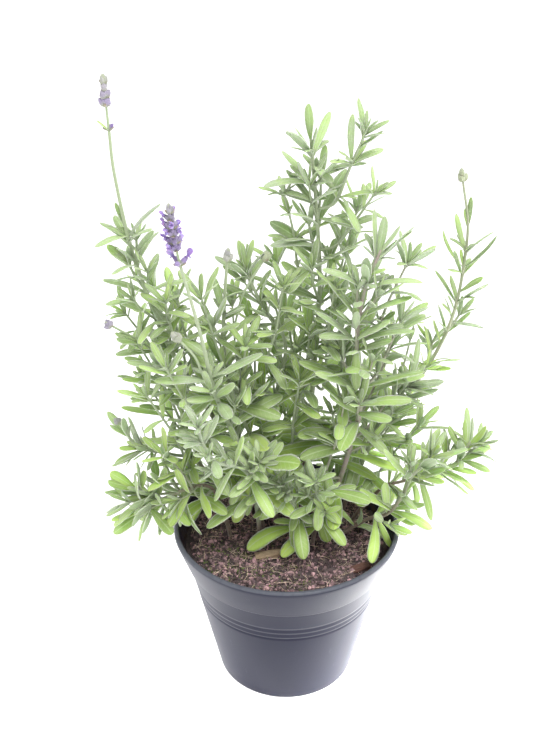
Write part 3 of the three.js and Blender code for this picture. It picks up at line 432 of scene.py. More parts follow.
# What lies on the soil, each in the middle of its solid: its size, degrees that it is turned, its finish, how
# square it is (1 is round) and how stretched its grain is.
CHIPS = {
    "chip_pale": dict(size=(19, 6, 3), turn=14, finish="pale_wood", power=0.34, grain=0.6),
    "chip_bark": dict(size=(14, 6, 3.4), turn=24, finish="bark", power=0.34, grain=0.6),
    "clod": dict(size=(8, 6, 6), turn=50, finish="crumb", power=0.85, grain=1.2),
}
CHIP_SHARE = 0.86  # of its solid's size, which leaves room for its splinters


# ---- draws and curves ----
def draws_from(seed):
    """Draws between 0 and 1 that repeat from one run to the next."""
    mask = 0xFFFFFFFF  # 32 bits
    state = seed & mask

    def draw():
        nonlocal state
        state = (state + 0x6D2B79F5) & mask
        t = ((state ^ (state >> 15)) * (state | 1)) & mask
        t = ((t + (((t ^ (t >> 7)) * (t | 61)) & mask)) & mask) ^ t
        return ((t ^ (t >> 14)) & mask) / (mask + 1)

    return draw


def mix(pair, x):
    return pair[0] + (pair[1] - pair[0]) * x


def between(draw, low, high):
    return low + (high - low) * draw()


def smooth(x):
    x = np.clip(x, 0, 1)
    return x * x * (3 - 2 * x)


@dataclass
class Here:
    """A place on a stem: the point, the way the stem runs, and two sides."""
    p: Vector
    t: Vector
    a: Vector
    b: Vector

    def side(self, degrees):
        return self.a * cos(degrees * RAD) + self.b * sin(degrees * RAD)

    def moved(self, s):
        return Here(self.p + self.t * s, self.t, self.a, self.b)


def on_curve(points, share):
    """A point on the Catmull-Rom curve through the points."""
    last = len(points) - 1
    i = min(int(share * last), last - 1)
    x = share * last - i
    p1, p2 = points[i], points[i + 1]
    p0 = points[i - 1] if i else p1 * 2 - p2
    p3 = points[i + 2] if i + 2 <= last else p2 * 2 - p1
    t0, t1 = (p2 - p0) / 2, (p3 - p1) / 2
    return p1 + t0 * x + (3 * (p2 - p1) - 2 * t0 - t1) * x * x + (2 * (p1 - p2) + t0 + t1) * x ** 3


AHEAD = (AIM - CAMERA).normalized()
ACROSS = Vector((1, 0, 0))
UPWARD = ACROSS.cross(AHEAD)
ZOOM = LENS / SENSOR * VIEW[1]


def seen(point):
    """The spot of the view where a point is."""
    ray = point - CAMERA
    ahead = ray.dot(AHEAD)
    across = VIEW[0] / 2 + ZOOM * ray.dot(ACROSS) / ahead
    return Vector((across, VIEW[1] / 2 - ZOOM * ray.dot(UPWARD) / ahead))


def behind(spot, depth):
    """The point behind a spot of the view that lies at a given depth."""
    ray = AHEAD * ZOOM + ACROSS * (spot[0] - VIEW[0] / 2) + UPWARD * (VIEW[1] / 2 - spot[1])
    return CAMERA + ray * ((depth - CAMERA.y) / ray.y)


class Line:
    """A stem's centre line, with a side that doesn't twist."""

    def __init__(self, points, steps, side):
        self.p = [on_curve(points, i / steps) for i in range(steps + 1)]
        self.s = [0.0]
        for before, here in zip(self.p, self.p[1:]):
            self.s.append(self.s[-1] + (here - before).length)
        self.t, self.a = [], []
        across = side
        for i in range(steps + 1):
            way = (self.p[min(steps, i + 1)] - self.p[max(0, i - 1)]).normalized()
            across = (across - way * across.dot(way)).normalized()
            self.t.append(way)
            self.a.append(across)
        self.length = self.s[-1]

    def at(self, s):
        i = 0
        while i < len(self.s) - 2 and self.s[i + 1] < s:
            i += 1
        x = (s - self.s[i]) / (self.s[i + 1] - self.s[i])
        way = self.t[i].lerp(self.t[i + 1], x).normalized()
        across = self.a[i].lerp(self.a[i + 1], x)
        across = (across - way * across.dot(way)).normalized()
        return Here(self.p[i].lerp(self.p[i + 1], x), way, across, way.cross(across))

    def spots(self, start, step=2.5):
        """Points along the line from a start, a step apart."""
        return [self.at(s).p for s in np.arange(start, self.length, step)]


# ---- leaves ----
@dataclass
class Leaf:
    """One blade: where it starts, the way it leaves, its upper side, its sizes and how it has grown."""
    root: Vector
    out: Vector
    up: Vector
    long: float
    wide: float
    arch: float
    broad: bool = True
    youth: float = 0.5
    tone: float = 0.5
    felt: float = 0.4
    warm: float = 0.3
    small: bool = False

    def point(self, x):
        """The middle of the blade at a share of its length."""
        bend = self.arch * RAD
        along, fall = sin(bend * x) / bend, (1 - cos(bend * x)) / bend
        return self.root + (self.out * along - self.up * fall) * self.long


def leaf_at(here, azimuth, opening, long, wide, arch, **growth):
    """The leaf that a stem bears: azimuth degrees round the stem, opening degrees from it."""
    side = here.side(azimuth)
    along, aside = cos(opening * RAD), sin(opening * RAD)
    out, up = here.t * along + side * aside, here.t * aside - side * along
    return Leaf(here.p, out, up, long, wide, arch, **growth)


def first_found(tips, make):
    """The first bend whose shape has its tip on the solid, or None where the solid has no such shape."""
    for bend in BENDS:
        shape, tip = make(bend)
        if tips.find(tip)[2] < FOUND:
            return shape
    return None


def place_of(line, plan, i):
    """Where a pair of leaves stands: the pairs are closer towards the tip."""
    x = i / (plan["pairs"] - 1) if plan["pairs"] > 1 else 1
    share = mix((plan["low"], plan["high"]), 1 - (1 - x) ** 1.2)
    s = mix((plan["start"], line.length), share)
    return line.at(s), plan["turn"] + 90 * i, x, s


def pairs_of(tips, line, plan, seed, seed_step, **growth):
    """The pairs of leaves of a stem or shoot, as (distance, azimuth, share, [leaf, leaf])."""
    found = []
    for i in range(plan["pairs"]):
        here, azimuth, x, s = place_of(line, plan, i)
        leaves = []
        for half in (0, 1):
            draw = draws_from(seed + seed_step * i + half)
            jitter = [2 * draw() - 1 for _ in range(4)]
            long = mix(plan["leaf_long"], x) * (1 + 0.14 * jitter[0])
            wide = long * mix(plan["leaf_wide"], x)
            arch = max(4, mix(plan["arch"], x) + 12 * jitter[3])

            def make(bend):
                turn, opened, share = bend
                leaf = leaf_at(here, azimuth + 180 * half + 14 * jitter[1] + turn,
                               mix(plan["opening"], x) + 9 * jitter[2] + opened, long * share, wide, arch,
                               tone=draw(), **growth)
                return leaf, leaf.point(1)

            leaves.append(first_found(tips, make))
        found.append((s, azimuth, x, leaves))
    return found


# ---- what already stands, so that the added leaves keep clear of it ----
BOX_MARGIN = 0.5  # how far added growth stays inside the solids' box
SOIL_MARGIN = 2  # and above the soil


class Room:
    """Points along every leaf and stem so far."""

    def __init__(self):
        self.points = np.zeros((0, 3))
        self.low, self.high = (np.array(corner) / MM for corner in cad_box)

    def hold(self, points):
        self.points = np.vstack([self.points, np.array(points, float).reshape(-1, 3)])

    def is_free(self, points, gap):
        points = np.array(points, float).reshape(-1, 3)
        if (points < self.low + BOX_MARGIN).any() or (points > self.high - BOX_MARGIN).any():
            return False
        if (points[:, 2] < SOIL["top"] + SOIL_MARGIN).any():
            return False
        apart = np.linalg.norm(self.points[None] - points[:, None], axis=2)
        return apart.min() > gap


room = Room()
LEAF_SAMPLES = (0.4, 0.6, 0.8, 1)


def samples_of(leaf):
    return [leaf.point(x) for x in LEAF_SAMPLES]


# ---- stems with their shoots ----
class Stem:
    """A leafy stem: its line, its radius, its pairs of leaves, and what grows in their axils."""

    def __init__(self, line, radius, plan, pairs, depth):
        self.line, self.radius, self.plan, self.pairs, self.depth = line, radius, plan, pairs, depth
        self.shoots = {}  # (pair, half): Stem
        self.branches = []
        self.added = []  # leaves that only this script grows

    def leaves(self):
        for _, _, _, pair in self.pairs:
            yield from (leaf for leaf in pair if leaf)
        yield from self.added


def shoot_line(place, azimuth, opening, reach):
    """The centre line of a side shoot, from the axil above a leaf."""
    aim = leaf_at(place, azimuth, opening, 1, 1, 1)
    middle = aim.root + aim.out * reach * 0.55 + aim.up * reach * 0.04
    end = aim.root + aim.out * reach * 0.97 + aim.up * reach * 0.16
    return Line([aim.root, middle, end], 6, aim.up.cross(aim.out))


def shoot_plan(pairs, leaf_long):
    return dict(pairs=pairs, start=0, low=0.5 if pairs > 1 else 0.84, high=0.88, turn=0,
                leaf_long=(leaf_long * 1.1, leaf_long * 0.9), leaf_wide=(0.25, 0.22), opening=(46, 24),
                arch=(26, 12))


def growth_of(plan, youth):
    return dict(youth=youth, felt=plan["felt"], warm=plan["warm"])


def solid_shoot(tips, stem, i, half, seed):
    """A shoot that the stem's solid has too."""
    plan = stem.plan
    shoots = plan["shoots"]
    _, azimuth, x, s = place_of(stem.line, plan, i)
    draw = draws_from(seed)
    rank = (i - shoots["at"][0]) / max(1, shoots["at"][-1] - shoots["at"][0])
    reach = mix(shoots["long"], rank) * (0.85 + 0.3 * draw())
    opening = mix(plan["opening"], x) * (0.5 + 0.15 * draw())
    axil = stem.line.at(s + (NODE + AXIL) / 2)

    def make(bend):
        turn, opened, share = bend
        line = shoot_line(axil, azimuth + 180 * half + turn, opening + opened, reach * share)
        return line, line.p[-1]

    line = first_found(tips, make)
    if not line:
        return None
    inner = {**plan, **shoot_plan(shoots["pairs"], shoots["leaf_long"])}
    pairs = pairs_of(tips, line, inner, seed + 10 + 10 * half, 2, broad=False,
                     **growth_of(plan, 0.35 + 0.6 * x))
    return Stem(line, SHOOT_RADIUS, inner, pairs, 1)


def stalk_of(stem, stalk):
    """A bare stalk that carries a flower head, from the axil of a leaf."""
    _, azimuth, _, s = place_of(stem.line, stem.plan, stalk["pair"])
    axil = stem.line.at(s + (NODE + AXIL) / 2)
    end = Vector(stalk["to"])
    way = end - axil.p
    half = 0 if way.dot(axil.side(azimuth)) > 0 else 1
    out = axil.side(azimuth + 180 * half)
    leaving = axil.p + (axil.t + out) * 0.12 * way.length
    middle = axil.p.lerp(end, 0.5) + axil.t * 0.08 * way.length
    line = Line([axil.p, leaving, middle, end], 12, axil.t.cross(out))
    bare = {**stem.plan, "pairs": 0}
    return half, Stem(line, (stalk["radius"],) * 2, bare, [], 1)


seats = {}  # the end of the stem or stalk that each flower head sits on


def planted(index, given):
    """A stem as its solid has it: main leaves, shoots and stalks."""
    plan = {**USUAL, **given, "shoots": {**USUAL["shoots"], **given.get("shoots", {})}}
    (x, y), *above = plan["route"]
    foot = SOIL["top"] - SOIL["hole_depth"]
    points = [Vector(p) for p in ((x, y, foot), (x, y, SOIL["top"] + UPRIGHT), *above)]
    line = Line(points, 10 * (len(points) - 1), Vector((1, 0, 0)))
    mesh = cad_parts[plan["name"]].data
    tips = kdtree.KDTree(len(mesh.vertices))
    for vertex in mesh.vertices:
        tips.insert(vertex.co / MM, vertex.index)
    tips.balance()
    seed = 10000 * (index + 1)
    pairs = pairs_of(tips, line, plan, seed, 100, felt=plan["felt"], warm=plan["warm"])
    for _, _, share, leaves in pairs:
        for leaf in filter(None, leaves):
            leaf.youth = share
    stem = Stem(line, plan["radius"], plan, pairs, 0)
    for stalk in plan["stalks"]:
        half, grown = stalk_of(stem, stalk)
        stem.shoots[stalk["pair"], half] = grown
        seats[stalk["bloom"]] = grown.line.at(grown.line.length)
    if plan["bloom"]:
        seats[plan["bloom"]] = line.at(line.length)
    for k, i in enumerate(plan["shoots"]["at"]):
        half = 1 - k % 2 if (i, k % 2) in stem.shoots else k % 2
        shoot = solid_shoot(tips, stem, i, half, seed + 100 * i + 10 + half)
        if shoot:
            stem.shoots[i, half] = shoot
    return stem


# ---- the growth that only this script adds ----
ADDED_SEED = 500000
BRANCH_SEED = 700000
LONG_SEED = 800000
LEAF_GAP = 1.3  # how far the points of an added leaf keep from the others
TUFT_GAP = 0.7
SHOOT_GAP = 2.2
SMALL_LEAF = 18  # a shorter leaf gets the small blade
ADDED_SHOOT_RADIUS = (0.75, 0.5)
BRANCH_RADIUS = (1.05, 0.6)
TWO_PAIRS = 11  # an added shoot longer than this has two pairs of leaves
CLUSTERED = 20  # and a shoot or branch longer than this has clusters in its axils
# Degrees open and share of a leaf, for the pairs at the tip of a main stem and of a side shoot.
TUFTS = [[(36, 1), (22, 0.8), (9, 0.5)], [(30, 0.9), (12, 0.6)]]
LONGEST_TUFT = 20
OPEN_SIDE = 20  # stems that start further right than this stand open
OPEN_SHARE = 0.3  # the share of their places that bear an added shoot or cluster
CLOSE_SHARE = 0.52  # and that of the others
TALLEST = 300  # the height at which a leaf looks youngest
PLACED_TIPS = ("stem_centre_tall", "stem_right_low", "stem_left_rim", "stem_right_purple")
SWINGS = [(0, 0), (18, 0), (-18, 0), (0, -14), (0, 16), (34, 6), (-34, 6)]  # degrees round, degrees open


def grow_leaf(stem, here, azimuth, opening, long, ratio, arch, draw, youth, gap=LEAF_GAP, small=True):
    """Adds a leaf in the first direction where there is room for it."""
    tone = draw()
    for turn, opened in SWINGS:
        leaf = leaf_at(here, azimuth + turn, opening + opened, long, long * ratio, arch, broad=not small,
                       small=long < SMALL_LEAF, tone=tone, **growth_of(stem.plan, youth))
        samples = samples_of(leaf)
        if room.is_free(samples[1:], gap):
            room.hold(samples)
            stem.added.append(leaf)
            return


def add_tuft(stem, size, draw, youth):
    """Small pairs that close in over a growing tip."""
    tuft = TUFTS[min(stem.depth, 1)]
    for rank, (opening, share) in enumerate(tuft):
        here = stem.line.at(stem.line.length - 0.4 - 1.1 * (len(tuft) - 1 - rank))
        for half in (0, 1):
            azimuth = stem.plan["turn"] + 90 * (stem.plan["pairs"] + rank) + 180 * half
            azimuth += between(draw, -12, 12)
            long = min(size, LONGEST_TUFT) * share * between(draw, 0.85, 1.15)
            grow_leaf(stem, here, azimuth, opening + between(draw, -5, 9), long, between(draw, 0.2, 0.25),
                      between(draw, 6, 36), draw, youth, TUFT_GAP)


def density(stem):
    """The share of places that bear an added shoot or cluster: fewer on the open right side."""
    return OPEN_SHARE if stem.line.p[0].x > OPEN_SIDE else CLOSE_SHARE


def add_cluster(stem, here, azimuth, size, draw, youth):
    """A few small leaves in the angle between a leaf and its stem."""
    count = 1 + int(2 * draw())
    for k in range(count):
        fan = (k - (count - 1) / 2) * between(draw, 40, 60)
        grow_leaf(stem, here, azimuth + fan, between(draw, 24, 58), size * between(draw, 0.75, 1.2),
                  between(draw, 0.22, 0.29), between(draw, 14, 60), draw, youth)


def add_pairs(stem, draw, youth):
    """The pairs of leaves of an added shoot or branch, with clusters in their axils."""
    plan = stem.plan
    for k in range(plan["pairs"]):
        here, azimuth, x, s = place_of(stem.line, plan, k)
        for half in (0, 1):
            around = azimuth + 180 * half
            long = mix(plan["leaf_long"], x)
            grow_leaf(stem, here, around + between(draw, -12, 12),
                      mix(plan["opening"], x) + between(draw, -9, 9), long * between(draw, 0.86, 1.14),
                      mix(plan["leaf_wide"], x), max(4, mix(plan["arch"], x) + between(draw, -10, 14)), draw,
                      youth, small=long < SMALL_LEAF)
            if stem.line.length > CLUSTERED and draw() < density(stem):
                add_cluster(stem, stem.line.at(s + 1.2), around, long * 0.62, draw, youth)
    add_tuft(stem, plan["leaf_long"][1], draw, youth)


def add_shoot(stem, i, half, draw):
    """One more side shoot, in a free axil, in the first direction that is clear."""
    plan = stem.plan
    _, azimuth, x, s = place_of(stem.line, plan, i)
    axil = stem.line.at(s + (NODE + AXIL) / 2)
    reach = mix(plan["shoots"]["long"], x) * between(draw, 0.7, 1.1)
    opening = mix(plan["opening"], x) * between(draw, 0.5, 0.68)
    for turn in (0, 18, -18, 34, -34):
        line = shoot_line(axil, azimuth + 180 * half + turn, opening, reach)
        if not room.is_free(line.p[3:], SHOOT_GAP):
            continue
        inner = {**plan, **shoot_plan(2 if reach > TWO_PAIRS else 1, plan["shoots"]["leaf_long"])}
        shoot = Stem(line, ADDED_SHOOT_RADIUS, inner, [], 2)
        room.hold(line.p[1:])
        add_pairs(shoot, draw, 0.4 + 0.6 * x)
        stem.shoots[i, half] = shoot
        return True
    return False


def add_branch(stem, draw, share, tip, depth, pairs=4, leaf_long=20):
    """A branch from a stem to a given tip, still bare."""
    start = stem.plan["start"]
    place = stem.line.at(mix((start, stem.line.length), share))
    tip = behind(tip, depth)
    way = tip - place.p
    out = (way - place.t * way.dot(place.t)).normalized()
    leaving = place.p + (place.t * 0.08 + out * 0.2) * way.length
    middle = place.p.lerp(tip, 0.55) + (out * 0.06 - place.t * 0.02) * way.length
    line = Line([place.p, leaving, middle, tip], 14, place.t.cross(out))
    plan = {**stem.plan, "pairs": pairs, "start": 0, "low": 0.26, "high": 0.94, "turn": 360 * draw(),
            "leaf_long": (leaf_long * 1.2, leaf_long), "leaf_wide": (0.26, 0.2), "opening": (68, 32),
            "arch": (56, 26)}
    branch = Stem(line, BRANCH_RADIUS, plan, [], 1)
    room.hold(line.spots(3))
    stem.branches.append(branch)
    return branch


def members(stem):
    """The stem with its shoots and branches."""
    yield stem
    for shoot in (*stem.shoots.values(), *stem.branches):
        yield from members(shoot)


FACING = Vector((0, -0.35, 1))  # the way that the upper side of a long leaf turns


def add_long_leaf(stem, tone, foot, tip, nearer=5, wide=5, arch=24, cast=None):
    """A leaf from the place on a stem or its branches that is seen nearest to its foot, to a given tip."""
    starts = [(point, member) for member in members(stem)
              for point in member.line.spots(2 if member.depth else USUAL["start"], 1.0)]
    spot = Vector(foot)
    start, bearer = min(starts, key=lambda place: (seen(place[0]) - spot).length)
    chord = behind(tip, start.y - nearer) - start
    way = chord.normalized()
    up = (FACING - way * FACING.dot(way)).normalized()
    half = arch * RAD / 2
    out = way * cos(half) + up * sin(half)
    felt, warm = CASTS[cast or stem.plan["cast"]]
    leaf = Leaf(start, out, up * cos(half) - way * sin(half), chord.length * half / sin(half),
                wide / FULLER, arch, youth=min(1, start.z / TALLEST), tone=tone, felt=felt, warm=warm)
    room.hold(samples_of(leaf))
    bearer.added.append(leaf)


def add_growth(stem, index):
    """Fills a stem's free axils and tips."""
    plan = stem.plan
    draw = draws_from(ADDED_SEED + index)
    if not plan["bloom"] and plan["name"] not in PLACED_TIPS:
        add_tuft(stem, plan["leaf_long"][1] * 0.95, draw, 1)
    for shoot in list(stem.shoots.values()):
        if shoot.pairs:
            add_tuft(shoot, shoot.plan["leaf_long"][1], draw, 0.8)
    for i, (s, azimuth, x, _) in enumerate(stem.pairs):
        for half in (0, 1):
            taken = (i, half) in stem.shoots
            if not taken and 0.05 < x < 0.9 and draw() < density(stem) and add_shoot(stem, i, half, draw):
                continue
            if not taken:
                add_cluster(stem, stem.line.at(s + 1.6), azimuth + 180 * half, mix((19, 13), x), draw,
                            0.5 + 0.5 * x)


# ---- meshes ----
class Skin:
    """Gathers closed tubes and blades into one mesh. Each point carries its place on its own shape (across,
    along, upper side) and how it grew (youth, tone, wood), (felt, warmth, blush)."""

    def __init__(self):
        self.points, self.faces, self.finishes = [], [], []
        self.place, self.growth, self.cast = [], [], []
        self.total = 0

    def add(self, rings, place, growth, cast, finish, tip=None):
        """Joins rings (n, m, 3), counter-clockwise about the way they run, and closes both ends."""
        n, m = rings.shape[:2]
        here = self.total + np.arange(n * m).reshape(n, m)
        beyond = np.roll(here, -1, axis=1)
        quads = np.stack([here[:-1], beyond[:-1], beyond[1:], here[1:]], axis=-1).reshape(-1, 4)
        faces = quads.tolist() + [here[0][::-1].tolist()]
        points, spots, grown = (np.broadcast_to(values, (n, m, 3)).reshape(-1, 3)
                                for values in (rings, place, growth))
        if tip is None:
            faces.append(here[-1].tolist())
        else:
            top = self.total + n * m
            faces += [[a, b, top] for a, b in zip(here[-1].tolist(), beyond[-1].tolist())]
            points = np.vstack([points, tip])
            spots = np.vstack([spots, spots[-m:].mean(0)])
            grown = np.vstack([grown, grown[-1]])
        self.points.append(points)
        self.place.append(spots)
        self.growth.append(grown)
        self.cast.append(np.broadcast_to(cast, points.shape))
        self.faces += faces
        self.finishes += [finish] * len(faces)
        self.total += len(points)

    def write(self, name, materials):
        mesh = bpy.data.meshes.new(name)
        mesh.from_pydata(np.clip(np.vstack(self.points), room.low, room.high) * MM, [], self.faces)
        for label, values in (("place", self.place), ("growth", self.growth), ("cast", self.cast)):
            attribute = mesh.attributes.new(label, "FLOAT_VECTOR", "POINT")
            attribute.data.foreach_set("vector", np.vstack(values).astype(np.float32).ravel())
        for material in materials:
            mesh.materials.append(material)
        mesh.polygons.foreach_set("material_index", self.finishes)
        mesh.polygons.foreach_set("use_smooth", [True] * len(mesh.polygons))
        return link(name, mesh)


def link(name, data):
    """Puts a mesh, lamp or camera in the scene."""
    made = bpy.data.objects.new(name, data)
    bpy.context.scene.collection.objects.link(made)
    return made


def mesh_of(work, name):
    """The plain mesh of what was made in bmesh."""
    mesh = bpy.data.meshes.new(name)
    work.to_mesh(mesh)
    work.free()
    return mesh


# A blade's section, from one margin under the keel to the other and back over the top: share of the half
# width, share of the roll, share of the thickness, upper side.
BLADE = np.array([
    (1, 1, 0.1, 0), (0.8, 0.9, 0.75, -1), (0.32, 0.15, 0.6, -1), (0, 0, 1, -1), (-0.32, 0.15, 0.6, -1),
    (-0.8, 0.9, 0.75, -1), (-1, 1, 0.1, 0), (-0.55, 0.2, -0.05, 1), (0, 0.1, 0.2, 1), (0.55, 0.2, -0.05, 1),
])
SMALL_BLADE = BLADE[[0, 2, 3, 4, 6, 7, 8, 9]]
BROAD_STATIONS = np.array([0, 0.1, 0.22, 0.38, 0.54, 0.7, 0.81, 0.89, 0.945, 0.98, 0.996])
SMALL_STATIONS = np.array([0, 0.16, 0.38, 0.62, 0.8, 0.91, 0.97, 0.995])
FULLER = 1.12  # how much wider a fine blade is than its solid's straight-edged one


def blade_width(x, broad, youth):
    """The share of a leaf's greatest width along it: a narrow foot, widest past the middle, and a tip that is
    blunt on an old leaf and pointed on a young one."""
    foot, widest, fullness = (0.2, mix((0.7, 0.62), youth), 1.15) if broad else (0.3, 0.6, 0.9)
    rising = foot + (1 - foot) * np.sin(np.clip(x / widest, 0, 1) * pi / 2) ** fullness
    falling = np.clip(1 - np.clip((x - widest) / (1 - widest), 0, 1) ** mix((2.5, 2.4), youth), 0, 1)
    falling = falling ** mix((0.5, 0.53), youth)
    return np.where(x < widest, rising, falling)


def add_blade(skin, leaf, finish=0):
    """A leaf's fine blade along the leaf's own arc, with rolled margins, a keel and a slight twist."""
    own_seed = int(1000 * abs(leaf.root.x) + 77 * abs(leaf.root.z) + 13 * leaf.long)
    draw = draws_from(own_seed)
    twist, sway = between(draw, -16, 16) * RAD, between(draw, -0.05, 0.05) * leaf.long
    roll, ripple = between(draw, 0.1, 0.34), between(draw, 0, 0.12)
    x = SMALL_STATIONS if leaf.small else BROAD_STATIONS
    section = SMALL_BLADE if leaf.small else BLADE
    bend = leaf.arch * RAD
    root, out, up = (np.array(v) for v in (leaf.root, leaf.out, leaf.up))
    across = np.cross(out, up)
    turned = (bend * x)[:, None]
    centre = root + (out * np.sin(turned) - up * (1 - np.cos(turned))) / bend * leaf.long
    centre = centre + across * (sway * x ** 2)[:, None]
    raised = up * np.cos(turned) + out * np.sin(turned)
    lean = (twist * x)[:, None]
    side = across * np.cos(lean) + raised * np.sin(lean)
    over = raised * np.cos(lean) - across * np.sin(lean)
    half = blade_width(x, leaf.broad, leaf.youth) * leaf.wide / 2 * FULLER
    thick = np.minimum(0.85, 0.34 + 0.16 * leaf.wide) * (1 - 0.6 * x ** 3) * np.minimum(1, half / 0.9)
    wave = ripple * half * np.sin(9 * x + 6 * leaf.tone)
    height = -section[None, :, 1] * (roll * half)[:, None] - section[None, :, 2] * thick[:, None]
    height = height + np.abs(section[None, :, 0]) * wave[:, None]
    rings = (centre[:, None] + side[:, None] * (section[None, :, 0] * half[:, None])[..., None]
             + over[:, None] * height[..., None])
    place = np.empty((len(x), len(section), 3))
    place[..., 0], place[..., 1], place[..., 2] = section[None, :, 0], x[:, None], section[None, :, 3]
    tip = centre[-1] + (centre[-1] - centre[-2]) / (x[-1] - x[-2]) * (1 - x[-1]) - over[-1] * roll * half[-1]
    skin.add(rings, place, (leaf.youth, leaf.tone, 0), (leaf.felt, leaf.warm, 0), finish, tip)


def add_tube(skin, line, radius_at, grown_at, cast, finish, span, turn=0, sides=10, step=2.2, square=3.2,
             pointed=True):
    """A stem's fine tube: a square with round corners, with a ring every step."""
    start, end = span
    distances = np.linspace(start, end, max(3, int((end - start) / step)))
    angles = np.arange(sides) / sides * 2 * pi
    shape = (np.abs(np.cos(angles)) ** square + np.abs(np.sin(angles)) ** square) ** (-1 / square) * 0.78
    rings = np.empty((len(distances), sides, 3))
    place = np.zeros_like(rings)
    growth = np.empty_like(rings)
    for k, s in enumerate(distances):
        here = line.at(s)
        for j, angle in enumerate(angles):
            rings[k, j] = here.p + here.side(turn + angle / RAD) * (radius_at(s) * shape[j])
            place[k, j] = j / sides, s / 10, 0
        growth[k] = grown_at(s)
    tip = line.at(end).p + line.at(end).t * radius_at(end) * 0.7 if pointed else None
    skin.add(rings, place, growth, cast, finish, None if tip is None else np.array(tip))


def add_stem(skin, stem, tone):
    """A stem, swollen at its nodes, then what it bears."""
    plan, line = stem.plan, stem.line
    nodes = [s for s, *_ in stem.pairs]

    def radius_at(s):
        swelling = sum(0.3 * exp(-((s - node - 0.6) / 1.5) ** 2) for node in nodes)
        return mix(stem.radius, s / line.length) * (1 + swelling)

    def grown_at(s):
        share = (s - plan["start"]) / (line.length - plan["start"])
        wood = 0 if stem.depth else 1 - smooth((share - plan["wood"] * 0.6) / (plan["wood"] * 0.8))
        return (1 if stem.depth else share), tone, wood

    cast = (plan["felt"], plan["warm"], plan["blush"] * (0.6 if stem.depth else 1))
    add_tube(skin, line, radius_at, grown_at, cast, 1, (0, line.length), turn=plan["turn"],
             sides=8 if stem.depth else 12)
    for leaf in stem.leaves():
        add_blade(skin, leaf)
    for shoot in (*stem.shoots.values(), *stem.branches):
        add_stem(skin, shoot, tone)


# ---- flower heads ----
# A calyx and a closed bud: how far along, and the radius there as a share.
CALYX = [(0, 0.35), (0.14, 0.78), (0.4, 1), (0.68, 0.95), (0.9, 0.8), (1, 0.84), (0.93, 0.6), (0.8, 0.45)]
BUD = [(0, 0.35), (0.12, 0.72), (0.32, 1), (0.55, 0.98), (0.75, 0.78), (0.9, 0.48), (0.97, 0.24), (1, 0.1)]
CALYX_SIDES = 10


def add_calyx(skin, bead, radius, cast, is_open):
    """A ribbed, hairy bell with a toothed mouth, or a closed bud."""
    out, up = np.array(bead.out), np.array(bead.up)
    across = np.cross(out, up)
    angles = np.arange(CALYX_SIDES) / CALYX_SIDES * 2 * pi
    ribs = 1 + 0.09 * np.cos(5 * angles)
    rings, place = [], []
    for k, (x, share) in enumerate(CALYX if is_open else BUD):
        tooth = 0.07 * np.cos(5 * angles) if is_open and k == 5 else 0 * angles
        along = (x + tooth) * bead.long
        around = up[None] * np.cos(angles)[:, None] + across[None] * np.sin(angles)[:, None]
        rings.append(np.array(bead.root)[None] + out[None] * along[:, None]
                     + around * (radius * share * ribs)[:, None])
        # the rings inside the mouth get a place past its end, where the calyx material paints shade
        inside = 1.2 if is_open and k > 5 else x
        place.append([(cos(5 * a), inside, 1) for a in angles])
    skin.add(np.array(rings), np.array(place), (1, bead.tone, 0), cast, 0)


# The lobes of a flower: degrees round its throat, degrees open, length and width.
LOBES = [(-28, 16, 2.7, 2), (28, 16, 2.7, 2), (130, 52, 1.5, 1.3), (180, 58, 1.8, 1.5), (230, 52, 1.5, 1.3)]


def bead_at(here, azimuth, opening, long, tone):
    """The axis of a calyx or bud."""
    return leaf_at(here, azimuth, opening, long, 1, 1, youth=1, tone=tone)


def add_flower(skin, bead, draw, size):
    """A two-lipped flower: a short tube, two lobes in an upright hood and three smaller lower ones."""
    mouth = bead.root + bead.out * bead.long * 0.84
    across = bead.out.cross(bead.up)
    line = Line([mouth, mouth + bead.out * 0.8 * size, mouth + bead.out * 1.6 * size], 4, bead.up)
    add_tube(skin, line, lambda s: 0.6 + 0.2 * s, lambda s: (1, bead.tone, 0), (0, 0, 0), 1,
             (0, line.length), sides=6, step=0.7, square=2, pointed=False)
    throat = Here(mouth + bead.out * 1.2 * size, bead.out, bead.up, across)
    for azimuth, opening, long, wide in LOBES:
        scale = size * between(draw, 0.85, 1.1)
        arch = -36 if abs(azimuth) < 90 else 50
        lobe = leaf_at(throat, azimuth + between(draw, -8, 8), opening + between(draw, -6, 8), long * scale,
                       wide * scale, arch, broad=False, small=True, youth=1, tone=draw(), felt=0, warm=0)
        add_blade(skin, lobe, 1)


def add_bract(skin, here, azimuth, opening, long, wide, draw):
    """A pointed papery scale under a whorl."""
    scale = leaf_at(here, azimuth, opening, long, wide, 14, broad=False, small=True, youth=0, tone=draw(),
                    felt=0.3, warm=0.5)
    add_blade(skin, scale, 2)


def head_line(seat, top, straighten):
    """A head's axis: along its stalk, then bent a little towards upright."""
    foot = seat.moved(GAP)
    middle = foot.p + seat.t * top * 0.5 + Vector((straighten * 0.3, 0, 0))
    end = foot.p + seat.t * top + Vector((straighten, 0, 0))
    return Line([foot.p, middle, end], 10, seat.a)


